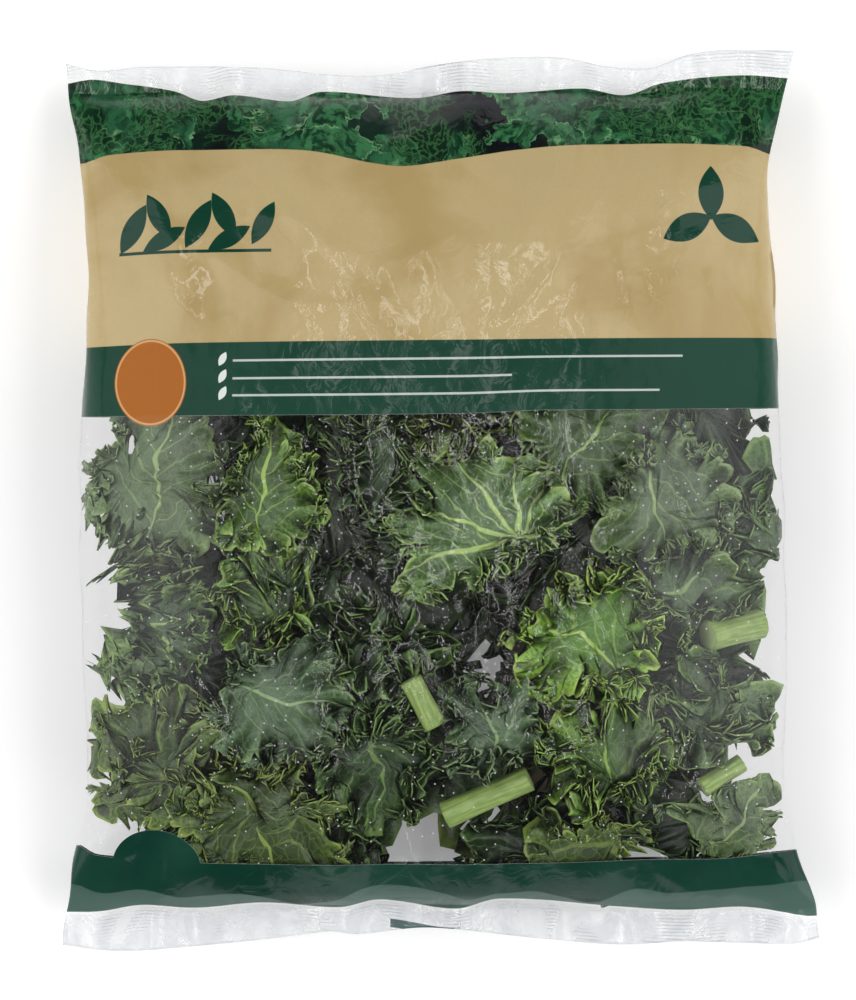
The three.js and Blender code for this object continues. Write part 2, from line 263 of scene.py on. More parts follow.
class Graph:
    """Adds nodes to one node tree and joins them."""

    def __init__(self, tree: bpy.types.NodeTree) -> None:
        """Starts on a tree with nothing in it."""
        self.tree = tree
        tree.nodes.clear()

    def node(self, kind: str, inputs: Optional[dict] = None, **settings: object) -> bpy.types.Node:
        """A new node.

        Args:
            kind: Blender's name for the node's type.
            inputs: Socket names or numbers, with the value or socket each one takes.
            settings: The node's own properties.

        Returns:
            The node.
        """
        made = self.tree.nodes.new(kind)
        for name, value in settings.items():
            setattr(made, name, value)
        for name, value in (inputs or {}).items():
            self.feed(made.inputs[name], value)
        return made

    def feed(self, socket: Socket, value: object) -> None:
        """Joins a socket to another, or sets its value."""
        if isinstance(value, bpy.types.NodeSocket):
            self.tree.links.new(value, socket)
        elif value is not None:
            socket.default_value = value

    def placed(self, tree: bpy.types.NodeTree, inputs: dict) -> bpy.types.Node:
        """A node group placed in this graph, with its inputs."""
        return self.node("ShaderNodeGroup", inputs, node_tree=tree)

    def sum(self, operation: str, a: object, b: object = None, c: object = None) -> Socket:
        """The result of one Math node."""
        made = self.node("ShaderNodeMath", operation=operation)
        for socket, value in zip(made.inputs, (a, b, c)):
            self.feed(socket, value)
        return made.outputs[0]

    def times(self, a: object, b: object) -> Socket:
        """The product of two values."""
        return self.sum("MULTIPLY", a, b)

    def plus(self, a: object, b: object) -> Socket:
        """The sum of two values."""
        return self.sum("ADD", a, b)

    def minus(self, a: object, b: object) -> Socket:
        """The first value less the second."""
        return self.sum("SUBTRACT", a, b)

    def over(self, a: object, b: object) -> Socket:
        """The first value divided by the second."""
        return self.sum("DIVIDE", a, b)

    def most(self, a: object, b: object) -> Socket:
        """The greater of two values."""
        return self.sum("MAXIMUM", a, b)

    def rise(self, value: object, low: object, high: object, start: float = 0.0, end: float = 1.0) -> Socket:
        """A smooth change from start to end as a value goes from low to high, in either order.

        Args:
            value: The value.
            low: Where the change begins.
            high: Where it ends.
            start: The result at low.
            end: The result at high.

        Returns:
            The result's socket.
        """
        made = self.node("ShaderNodeMapRange", interpolation_type="SMOOTHSTEP")
        parts = {"Value": value, "From Min": low, "From Max": high, "To Min": start, "To Max": end}
        for name, part in parts.items():
            self.feed(made.inputs[name], part)
        return made.outputs[0]

    def blend(self, share: object, a: object, b: object) -> Socket:
        """Two colours mixed: a where share is 0, b where it is 1."""
        made = self.node("ShaderNodeMix", data_type="RGBA")
        for socket, value in zip((made.inputs[0], made.inputs[6], made.inputs[7]), (share, a, b)):
            self.feed(socket, value)
        return made.outputs[2]

    def noise(
        self, place: Socket, scale: float, detail: float = 3.0, twist: float = 0.0, part: int = 0
    ) -> Socket:
        """Cloudy noise over X and Y, as a value (part 0) or a colour (part 1)."""
        inputs = {"Vector": place, "Scale": scale, "Detail": detail, "Distortion": twist}
        return self.node("ShaderNodeTexNoise", inputs, noise_dimensions="2D").outputs[part]

    def cells(self, place: Socket, scale: float, feature: str = "DISTANCE_TO_EDGE") -> Socket:
        """Distances in a pattern of cells over X and Y."""
        made = self.node("ShaderNodeTexVoronoi", feature=feature, voronoi_dimensions="2D")
        self.feed(made.inputs["Vector"], place)
        self.feed(made.inputs["Scale"], scale)
        return made.outputs["Distance"]

    def shift(self, place: Socket, by: Socket, amount: float) -> Socket:
        """Places pushed about by a noise colour."""
        kind = "ShaderNodeVectorMath"
        centred = self.node(kind, {0: by, 1: (0.5, 0.5, 0.5)}, operation="SUBTRACT").outputs[0]
        scaled = self.node(kind, {0: centred, "Scale": amount}, operation="SCALE").outputs[0]
        return self.node(kind, {0: place, 1: scaled}, operation="ADD").outputs[0]

    def uv(self, title: str) -> Socket:
        """One of the piece's UV maps."""
        return self.node("ShaderNodeUVMap", uv_map=title).outputs[0]

    def parts(self, vector: Socket) -> tuple[Socket, Socket]:
        """The X and Y parts of a vector."""
        made = self.node("ShaderNodeSeparateXYZ", {0: vector})
        return made.outputs[0], made.outputs[1]


def new_group(
    name: str, inputs: dict, outputs: dict
) -> tuple[bpy.types.NodeTree, Graph, bpy.types.Node, bpy.types.Node]:
    """An empty shader node group.

    Args:
        name: The group's name.
        inputs: Input names with their socket types.
        outputs: Output names with their socket types.

    Returns:
        The group's tree, a Graph on it, and its input and output nodes.
    """
    tree = bpy.data.node_groups.new(name, "ShaderNodeTree")
    for title, kind in inputs.items():
        tree.interface.new_socket(title, in_out="INPUT", socket_type=kind)
    for title, kind in outputs.items():
        tree.interface.new_socket(title, in_out="OUTPUT", socket_type=kind)
    graph = Graph(tree)
    return tree, graph, graph.node("NodeGroupInput"), graph.node("NodeGroupOutput")


def new_material(name: str) -> tuple[bpy.types.Material, Graph, Socket]:
    """An empty material, a Graph on its nodes, and its surface socket."""
    material = bpy.data.materials.new(name)
    material.use_nodes = True
    graph = Graph(material.node_tree)
    return material, graph, graph.node("ShaderNodeOutputMaterial").inputs["Surface"]


# The bag's shape


@dataclass(frozen=True)
class FilmForm:
    """The filled bag's shape, as the frame's film node has it."""

    half_length: float = 160.5 * MM
    end_seal: float = 14 * MM
    thickness: float = 70 * MM
    fold_height: float = 30 * MM
    back_drop: float = 36 * MM
    seal_height: float = 15 * MM
    wall: float = 0.8 * MM
    fill_flatness: float = 2.5
    fill_shoulder: float = 0.8
    seal_wave: float = 2.4 * MM
    seal_wave_pitch: float = 163 * MM
    seal_ripple: float = 1.2 * MM
    seal_ripple_pitch: float = 60 * MM
    pucker: float = 2.2 * MM
    pucker_pitch: float = 47 * MM
    end_blend: float = 6 * MM
    left_side: Points = (
        (-160.5, -134.8), (-133, -132.4), (-111, -127.2), (-94, -126), (-60, -127), (0, -128.3),
        (60, -126.4), (100, -126.8), (125, -128.6), (141, -132.2), (160.5, -134.4),
    )
    right_side: Points = (
        (-160.5, 134.8), (-146, 133), (-130, 127.6), (-108, 122.3), (-94, 120.8), (-60, 122.3),
        (0, 121.2), (60, 118), (100, 115.9), (118, 116.2), (141, 121.1), (160.5, 124.8),
    )
    bottom_end: Points = (
        (-134.8, 2), (-118, 0), (-92, 1.4), (-63, 4.3), (-40, 7.2), (-30, 6.2), (-4, 8.4),
        (37, 4.2), (64, 2.3), (86, 3.6), (125, 2.8), (134.8, 5.2),
    )
    top_end: Points = (
        (-134.4, 4.7), (-123, 7.2), (-107, 6), (-66, 6.3), (-36, 9.2), (-18, 8.6), (-5, 5.8),
        (20, 2.9), (43, 2.5), (58, 5.6), (74, 6.5), (86, 2.2), (100, 0.2), (124.8, 0.4),
    )

    @property
    def belly_half(self) -> float:
        """Half the length between the end seals."""
        return self.half_length - self.end_seal

    def sides(self, y: np.ndarray) -> tuple[np.ndarray, np.ndarray]:
        """X of the left and right folds at each Y."""
        return line_through(self.left_side)(y), line_through(self.right_side)(y)

    def fullness(self, x: np.ndarray, y: np.ndarray) -> tuple[np.ndarray, np.ndarray, np.ndarray]:
        """How the bag is filled at each point.

        Args:
            x: Places across the bag.
            y: Rows along the bag.

        Returns:
            How round it is across, how full along, and the place from seal to seal, -1 to 1.
        """
        left, right = self.sides(y)
        u = np.clip((2 * x - left - right) / (right - left), -1, 1)
        v = np.clip(y / self.belly_half, -1, 1)
        return np.sqrt(1 - u * u), (1 - np.abs(v) ** self.fill_flatness) ** self.fill_shoulder, v

    def heights(self, x: np.ndarray, y: np.ndarray, edge: float = 0.8 * MM) -> tuple[np.ndarray, np.ndarray]:
        """Heights of the front and the back of the film.

        Args:
            x: Places across the bag.
            y: Rows along the bag.
            edge: Half the film's thickness at the folds and seals.

        Returns:
            The front's heights and the back's.
        """
        around, full, v = self.fullness(x, y)
        wave = self.seal_wave * np.sin(TAU * x / self.seal_wave_pitch + 3 * v)
        ripple = self.seal_ripple * np.sin(TAU * x / self.seal_ripple_pitch)
        seal = self.seal_height + wave + ripple
        fold = self.fold_height + (seal - self.fold_height) * v**4
        near_seal = 4 * full * (1 - full)
        tuck = self.pucker * near_seal * around * np.cos(TAU * x / self.pucker_pitch + v)
        rise = (self.thickness - self.fold_height - self.wall) * full * around + tuck
        drop = self.back_drop * full * around + tuck / 2
        half = edge + (self.wall - edge) * full * around
        return fold + half + np.maximum(rise, 0), np.maximum(0, fold - half - np.maximum(drop, 0))

    def along(self, x: np.ndarray, row: np.ndarray) -> np.ndarray:
        """Rows bent near the ends to the line that the film is cut to.

        Args:
            x: Places across the bag.
            row: Each point's row.

        Returns:
            Y at each point.
        """
        run = self.end_seal + self.end_blend
        to_end = np.clip((np.abs(row) - self.belly_half + self.end_blend) / run, 0, 1)
        short = np.where(row < 0, line_through(self.bottom_end)(x), -line_through(self.top_end)(x))
        return row + to_end * short


# The print on the film


@dataclass(frozen=True)
class PrintLayout:
    """Where the printed bands lie: their edges on the filled bag, and on the flat web."""

    lines: tuple[Points, ...] = (
        (
            (-133.6, 148.6), (-124.7, 150.1), (-113.3, 148.6), (-95.2, 145.8), (-85.6, 142.2), (-74.2, 144.4),
            (-54, 141.9), (-43.4, 145.4), (-9.6, 143.3), (6.4, 145.8), (22, 145.1), (50, 146.9),
            (65.3, 144.4), (78.1, 148.6), (106.2, 151.5), (122.8, 150.4),
        ),
        (
            (-127, 119.7), (-117.1, 122.6), (-81.5, 124.3), (-47.3, 123.6), (-23.7, 119), (-12.4, 118),
            (6.3, 120.8), (26, 124), (53.2, 126.1), (107.1, 125.7), (117, 122.6),
        ),
        ((-125.1, 54.1), (-93.6, 55.3), (-44.6, 55.9), (6.2, 56.4), (70.6, 57.1), (116.2, 57.5)),
        ((-126, 29.6), (-71.1, 29.9), (6.2, 30.5), (34.9, 31.7), (70.6, 32), (117.4, 32.7)),
        (
            (-128.4, -122.5), (-123.1, -125.7), (-106.6, -127.1), (-80.1, -128.5), (-29, -128.9),
            (34.5, -128.5), (70.5, -127.1), (99.4, -126.7), (113.5, -125.3), (125.1, -123.9),
        ),
        (
            (-134.5, -146.8), (-121.4, -146.4), (-106.8, -143.9), (-87.9, -145), (-63.4, -142.8),
            (-36.3, -144.6), (-22.4, -141.8), (5, -145.3), (20.3, -141.4), (64, -144.6), (85.7, -145.7),
            (107.4, -144.6), (129.1, -147.8),
        ),
    )
    foliage_top: float = 146 * MM
    panel_top: float = 123 * MM
    stripe_top: float = 56 * MM
    window_top: float = 31 * MM
    foot_top: float = -127 * MM
    foot_bottom: float = -144 * MM

    def web(self, x: np.ndarray, y: np.ndarray) -> np.ndarray:
        """Places along the flat web, where a band's edges are straight.

        Args:
            x: Places across the filled bag.
            y: Places along it.

        Returns:
            Y on the web at each point.
        """
        drawn = [line_through(points)(x) for points in self.lines]
        flat = [
            self.foliage_top, self.panel_top, self.stripe_top,
            self.window_top, self.foot_top, self.foot_bottom,
        ]
        result = flat[0] + (y - drawn[0])
        for high, low, flat_high, flat_low in zip(drawn[:-1], drawn[1:], flat[:-1], flat[1:]):
            share = (y - low) / (high - low)
            result = np.where(y <= high, flat_low + (flat_high - flat_low) * share, result)
        return np.where(y <= drawn[-1], flat[-1] + (y - drawn[-1]), result)


# What each mark's group takes beside its place, and what a box or disc takes on each axis
LEAF_INPUTS = ("X", "Y", "Turn", "Half Length", "Half Width")
BOX_INPUTS = ("X", "Y", "Half Width", "Half Height")
BOX_AXES = (("X", "Half Width"), ("Y", "Half Height"))
# Width of a mark's soft edge, outside and inside it
SOFT_EDGE = (-0.05 * MM, 0.15 * MM)


def leaf_mark_group() -> bpy.types.NodeTree:
    """Group that draws one pointed leaf: 1 inside, 0 outside."""
    inputs = {"Place": VECTOR, **dict.fromkeys(LEAF_INPUTS, VALUE)}
    tree, g, given, result = new_group("leaf_mark", inputs, {"Mask": VALUE})
    centre = g.node("ShaderNodeCombineXYZ", {0: given.outputs["X"], 1: given.outputs["Y"]})
    ends = {0: given.outputs["Place"], 1: centre.outputs[0]}
    local = g.node("ShaderNodeVectorMath", ends, operation="SUBTRACT")
    turned = g.node("ShaderNodeVectorRotate", {"Vector": local.outputs[0]}, rotation_type="Z_AXIS")
    g.feed(turned.inputs["Angle"], g.times(given.outputs["Turn"], -1.0))
    along, across = g.parts(turned.outputs[0])
    share = g.over(along, given.outputs["Half Length"])
    swelling = g.minus(1.0, g.times(share, share))
    edge = g.minus(g.times(given.outputs["Half Width"], swelling), g.sum("ABSOLUTE", across))
    g.feed(result.inputs["Mask"], g.rise(edge, *SOFT_EDGE))
    return tree


def block_mark_group() -> bpy.types.NodeTree:
    """Group that draws one upright rectangle: 1 inside, 0 outside."""
    inputs = {"Place": VECTOR, **dict.fromkeys(BOX_INPUTS, VALUE)}
    tree, g, given, result = new_group("block_mark", inputs, {"Mask": VALUE})
    sides = []
    for place, (centre, half) in zip(g.parts(given.outputs["Place"]), BOX_AXES):
        off = g.sum("ABSOLUTE", g.minus(place, given.outputs[centre]))
        sides.append(g.minus(given.outputs[half], off))
    g.feed(result.inputs["Mask"], g.rise(g.sum("MINIMUM", *sides), *SOFT_EDGE))
    return tree


def disc_mark_group() -> bpy.types.NodeTree:
    """Group that gives the distance from an ellipse's middle, 1 at its edge."""
    inputs = {"Place": VECTOR, **dict.fromkeys(BOX_INPUTS, VALUE)}
    tree, g, given, result = new_group("disc_mark", inputs, {"Distance": VALUE})
    squares = []
    for place, (centre, half) in zip(g.parts(given.outputs["Place"]), BOX_AXES):
        share = g.over(g.minus(place, given.outputs[centre]), given.outputs[half])
        squares.append(g.times(share, share))
    g.feed(result.inputs["Distance"], g.sum("SQRT", g.plus(*squares)))
    return tree


def foliage_print_group() -> bpy.types.NodeTree:
    """Group with the printed pattern of ruffled leaves."""
    tree, g, given, result = new_group("foliage_print", {"Place": VECTOR}, {"Color": COLOUR})
    place = given.outputs["Place"]
    bent = g.shift(place, g.noise(place, 60, 3, 0.4, part=1), 16 * MM)
    curls = g.shift(bent, g.noise(place, 300, 3, 0.6, part=1), 5 * MM)
    mass = g.rise(g.noise(bent, 24, 2), 0.36, 0.6)
    colour = g.blend(mass, ink(14, 18, 22), ink(12, 40, 28))
    broken = g.rise(g.noise(place, 130, 2), 0.42, 0.6)
    for scale, high, low in ((46, (46, 104, 68), (10, 44, 28)), (105, (58, 118, 74), (12, 50, 30))):
        spots = g.node("ShaderNodeTexVoronoi", {"Vector": curls, "Scale": scale}, voronoi_dimensions="2D")
        tone = g.parts(spots.outputs["Color"])[0]
        blade = g.blend(g.rise(g.noise(curls, 2.4 * scale, 3), 0.36, 0.66), ink(*low), ink(*high))
        there = g.rise(tone, 0.42, 0.46)
        colour = g.blend(g.times(there, 0.9), colour, blade)
        rim = g.times(g.rise(g.cells(curls, scale), 0.06, 0.0), g.rise(tone, 0.4, 0.6))
        colour = g.blend(g.times(g.times(rim, broken), 0.85), colour, ink(120, 168, 118))
    tufted = g.rise(g.noise(bent, 32, 2), 0.5, 0.56)
    tuft = g.blend(g.rise(g.cells(curls, 330), 0.02, 0.2), ink(56, 106, 60), ink(10, 36, 22))
    colour = g.blend(g.times(tufted, 0.7), colour, tuft)
    g.feed(result.inputs["Color"], colour)
    return tree


class Panel(Enum):
    """The two faces of the bag."""

    FRONT = "front"
    BACK = "back"


@dataclass(frozen=True)
class FilmFinish:
    """Printed packaging film: opaque inks on a clear, glossy web."""

    layout: PrintLayout
    stripe_ink: Colour = ink(14, 62, 46)
    stripe_pale: Colour = ink(24, 74, 58)
    foot_ink: Colour = ink(12, 54, 42)
    foot_pale: Colour = ink(34, 84, 68)
    panel_ink: Colour = ink(190, 170, 124)
    panel_shade: Colour = ink(176, 152, 102)
    badge_ink: Colour = ink(170, 98, 28)
    badge_rim: Colour = ink(222, 176, 120)
    white_ink: Colour = ink(222, 228, 224)
    eye_ink: Colour = ink(46, 66, 74)
    seal_white: Colour = ink(240, 242, 245)
    seal_grey: Colour = ink(216, 219, 224)
    label_ink: Colour = ink(206, 188, 158)
    haze: float = 0.005
    # Mist inside the window: where it starts and is full, across and along, and how thick it is
    mist_left: tuple = (-66, -96, -125, -30, 0.032)
    mist_right: tuple = (67.6, 69.2, -128, -60, 0.035)
    seal_haze: float = 0.42
    # Strength of the painted highlights: small white glints on drops of condensation
    painted_glint_strength: float = 0.6
    gloss: float = 0.018
    # Leaf marks: X, Y, turn in degrees, half length, half width, in millimetres on the web
    sprig: tuple = (
        (-109, 96, 62, 9.5, 3.6), (-100, 100, 118, 9, 3.4), (-98, 92, 28, 8.5, 3.1), (-86, 97, 62, 9.5, 3.6),
        (-77, 100, 118, 9, 3.4), (-75, 92, 28, 8.5, 3.1), (-63, 97, 62, 8.5, 3.2),
    )
    trefoil: tuple = ((95, 106, 90, 9.5, 4.6), (86.5, 94, 205, 9.5, 4.6), (103.5, 94, -25, 9.5, 4.6))
    bullets: tuple = ((-77.1, 50.3, 62, 2.7, 1.3), (-77.1, 44.4, 62, 2.7, 1.3), (-77.1, 38.6, 62, 2.7, 1.3))
    # Bars and discs: X, Y, half width, half height
    stalk: tuple = ((-87, 87.5, 27, 0.6),)
    rules: tuple = ((5.5, 49.7, 79, 0.42), (-24.6, 43.6, 49, 0.42), (1.3, 37.8, 75, 0.42))
    eye_mark: tuple = (-7, -152.4, 11.5, 1.6)
    badge: tuple = (-102.7, 42.6, 12.8, 15.2)
    bump: tuple = (-101.1, -129.5, 15.9, 13.4)
    label: tuple = (62, -60, 40, 44)

    def marks(
        self, g: Graph, tree: bpy.types.NodeTree, names: Sequence[str], place: Socket, rows: Sequence
    ) -> Socket:
        """Several marks of one group drawn together.

        Args:
            g: The material's graph.
            tree: The group that draws one mark.
            names: The group's inputs, in the order of each row's numbers.
            place: Place on the web.
            rows: The marks' numbers, in millimetres, with any turn in degrees.

        Returns:
            The greatest value of all the marks.
        """
        total = None
        for row in rows:
            given = {n: math.radians(v) if n == "Turn" else v * MM for n, v in zip(names, row)}
            mask = g.placed(tree, {"Place": place, **given}).outputs[0]
            total = mask if total is None else g.most(total, mask)
        return total

    def material(self, panel: Panel, groups: dict) -> bpy.types.Material:
        """The film of one face.

        Args:
            panel: Which face it is.
            groups: The print's node groups by name.

        Returns:
            The material.
        """
        material, g, surface = new_material(f"film_{panel.value}")
        lay, web = self.layout, g.uv("web")
        u, w = g.parts(web)
        cut = 0.12 * MM

        def band(low: float, high: float) -> Socket:
            """Mask of a band between two heights of the web."""
            return g.times(g.rise(w, low - cut, low + cut), g.rise(w, high + cut, high - cut))

        worn = g.noise(web, 24, 4, 0.4)
        tan = g.blend(g.rise(worn, 0.35, 0.7), self.panel_ink, self.panel_shade)
        tan = g.blend(g.rise(g.noise(web, 900, 2), 0.3, 0.8, 0.0, 0.12), tan, self.panel_shade)
        colour = g.blend(g.rise(worn, 0.3, 0.75, 0.0, 0.35), self.stripe_ink, self.stripe_pale)
        colour = g.blend(band(lay.stripe_top, lay.panel_top), colour, tan)
        picture = g.placed(groups["foliage"], {"Place": web}).outputs[0]
        colour = g.blend(band(lay.panel_top, lay.foliage_top), colour, picture)
        foot = g.blend(g.rise(worn, 0.3, 0.75, 0.0, 0.4), self.foot_ink, self.foot_pale)
        inked = g.most(band(lay.window_top, lay.foliage_top), band(lay.foot_bottom, lay.foot_top))
        if panel is Panel.FRONT:
            hump = g.rise(self.marks(g, groups["disc"], BOX_INPUTS, web, [self.bump]), 1.006, 0.994)
            hump = g.times(hump, band(lay.foot_bottom, lay.foot_top + 20 * MM))
            colour = g.blend(g.most(hump, band(lay.foot_bottom, lay.foot_top)), colour, foot)
            green = self.marks(g, groups["leaf"], LEAF_INPUTS, web, [*self.sprig, *self.trefoil])
            green = g.most(green, self.marks(g, groups["block"], BOX_INPUTS, web, self.stalk))
            colour = g.blend(green, colour, self.stripe_ink)
            white = self.marks(g, groups["leaf"], LEAF_INPUTS, web, self.bullets)
            rules = self.marks(g, groups["block"], BOX_INPUTS, web, self.rules)
            colour = g.blend(g.most(white, g.times(rules, 0.7)), colour, self.white_ink)
            badge = self.marks(g, groups["disc"], BOX_INPUTS, web, [self.badge])
            disc = g.rise(badge, 1.006, 0.994)
            colour = g.blend(disc, colour, self.badge_ink)
            rim = g.times(g.rise(badge, 0.925, 0.94), g.rise(badge, 0.985, 0.97))
            colour = g.blend(g.times(rim, 0.75), colour, self.badge_rim)
            eye = self.marks(g, groups["block"], BOX_INPUTS, web, [self.eye_mark])
            colour = g.blend(eye, colour, self.eye_ink)
            crease = g.plus(w, g.times(g.noise(web, 24, 1), -16 * MM))
            low = lay.foot_bottom - 3.5 * MM
            mark = g.rise(crease, low + 0.5 * MM, low)
            mark = g.times(g.times(mark, g.rise(w, lay.foot_top, lay.foot_bottom, 0.1, 0.5)), 0.5)
            colour = g.blend(mark, colour, ink(150, 176, 168))
            for mask in (hump, disc, eye):
                inked = g.most(inked, mask)
        else:
            colour = g.blend(band(lay.foot_bottom, lay.foot_top), colour, foot)
            label = self.marks(g, groups["block"], BOX_INPUTS, web, [self.label])
            colour = g.blend(label, colour, self.label_ink)
            inked = g.most(inked, label)
        # End seals, whitened where the jaws pressed them
        top, bottom = lay.foliage_top + 1.5 * MM, lay.foot_bottom - 1.5 * MM
        sealed = g.most(g.rise(w, top - 2 * MM, top + 2 * MM), g.rise(w, bottom + 2 * MM, bottom - 2 * MM))
        pressed = g.rise(g.noise(web, 60, 4, 1.0), 0.3, 0.75, 0.55, 1.25)
        haze = g.plus(self.haze, g.times(g.times(sealed, pressed), self.seal_haze))
        if panel is Panel.FRONT:
            uneven = g.rise(g.noise(web, 26, 3, 0.8), 0.25, 0.7, 0.55, 1.2)
            across = g.plus(u, g.times(g.minus(g.noise(web, 30, 2), 0.5), 5 * MM))
            for start, full, foot_at, full_at, thick in (self.mist_left, self.mist_right):
                patch = g.times(g.rise(across, start * MM, full * MM), g.rise(w, foot_at * MM, full_at * MM))
                haze = g.plus(haze, g.times(g.times(patch, uneven), thick))
        # Crimps of the seals, fine crumpling of the film, drops of condensation in the window, and painted
        # highlights on some of the drops
        crimps = g.sum("SINE", g.times(w, TAU / (1.2 * MM)))
        crimps = g.times(crimps, g.rise(g.noise(web, 40, 2), 0.45, 0.62))
        ends = g.blend(g.rise(w, -MM, MM), self.seal_grey, self.seal_white)
        ends = g.blend(g.rise(crimps, 0.0, 1.0, 0.0, 0.35), ends, self.stripe_pale)
        ends = g.blend(g.rise(sealed, 0.0, 0.5), self.seal_white, ends)
        colour = g.blend(g.minus(1.0, inked), colour, ends)
        if panel is Panel.FRONT:
            # Painted highlights: small white glints on some of the drops, put into the film's haze
            painted_glints = g.node("ShaderNodeTexVoronoi", {"Vector": web, "Scale": 270.0}, voronoi_dimensions="2D")
            gathered = g.rise(g.noise(web, 38, 2), 0.3, 0.7, 0.04, 0.5)
            picked = g.sum("LESS_THAN", g.parts(painted_glints.outputs["Color"])[0], gathered)
            painted_glints = g.rise(painted_glints.outputs["Distance"], 0.1, 0.05)
            painted_glints = g.times(g.times(painted_glints, picked), band(lay.foot_top, lay.window_top))
            haze = g.most(haze, g.times(painted_glints, self.painted_glint_strength))
        opacity = g.most(inked, haze)
        crimps = g.times(crimps, g.times(sealed, 0.05))
        crumple = g.times(g.noise(web, 110, 4, 1.2), 0.32)
        drops_at = g.cells(g.shift(web, g.noise(web, 300, 2, part=1), 1 * MM), 420, "F1")
        wet = g.rise(g.noise(web, 45, 3), 0.5, 0.68)
        wet = g.times(g.times(wet, band(lay.foot_top, lay.window_top)), g.minus(1.0, inked))
        drops = g.times(g.rise(drops_at, 0.34, 0.2), g.times(wet, 0.14))
        height = g.plus(g.plus(crimps, crumple), drops)
        bump = g.node("ShaderNodeBump", {"Height": height, "Strength": 0.9, "Distance": 1.0 * MM}).outputs[0]
        rough = g.rise(worn, 0.3, 0.8, 0.26, 0.4)
        printed = g.node(
            "ShaderNodeBsdfPrincipled",
            {
                "Base Color": colour, "Roughness": rough, "Alpha": opacity,
                "Normal": bump, "Specular IOR Level": 0.1,
            },
        )
        sheen = g.node("ShaderNodeBsdfAnisotropic", {"Roughness": 0.06, "Normal": bump})
        facing = g.node("ShaderNodeLayerWeight", {"Blend": 0.5, "Normal": bump}).outputs["Facing"]
        dull = g.rise(band(lay.window_top, lay.stripe_top), 0.0, 1.0, 1.0, 0.35)
        share = g.sum("MULTIPLY_ADD", g.sum("POWER", facing, 5.0), 0.7, g.times(dull, self.gloss))
        seen = g.node("ShaderNodeMixShader", {0: share, 1: printed.outputs[0], 2: sheen.outputs[0]})
        # Light on its way to and from the kale meets only the bands
        bands = g.most(band(lay.window_top, lay.foliage_top), band(lay.foot_bottom, lay.foot_top))
        flat_ink = g.blend(band(lay.stripe_top, lay.panel_top), self.stripe_ink, self.panel_ink)
        flat = g.node("ShaderNodeBsdfDiffuse", {"Color": flat_ink})
        clear = g.node("ShaderNodeBsdfTransparent")
        unseen = g.node("ShaderNodeMixShader", {0: bands, 1: clear.outputs[0], 2: flat.outputs[0]})
        path = g.node("ShaderNodeLightPath")
        side = g.most(path.outputs["Is Shadow Ray"], path.outputs["Is Diffuse Ray"])
        both = g.node("ShaderNodeMixShader", {0: side, 1: seen.outputs[0], 2: unseen.outputs[0]})
        g.feed(surface, both.outputs[0])
        return material


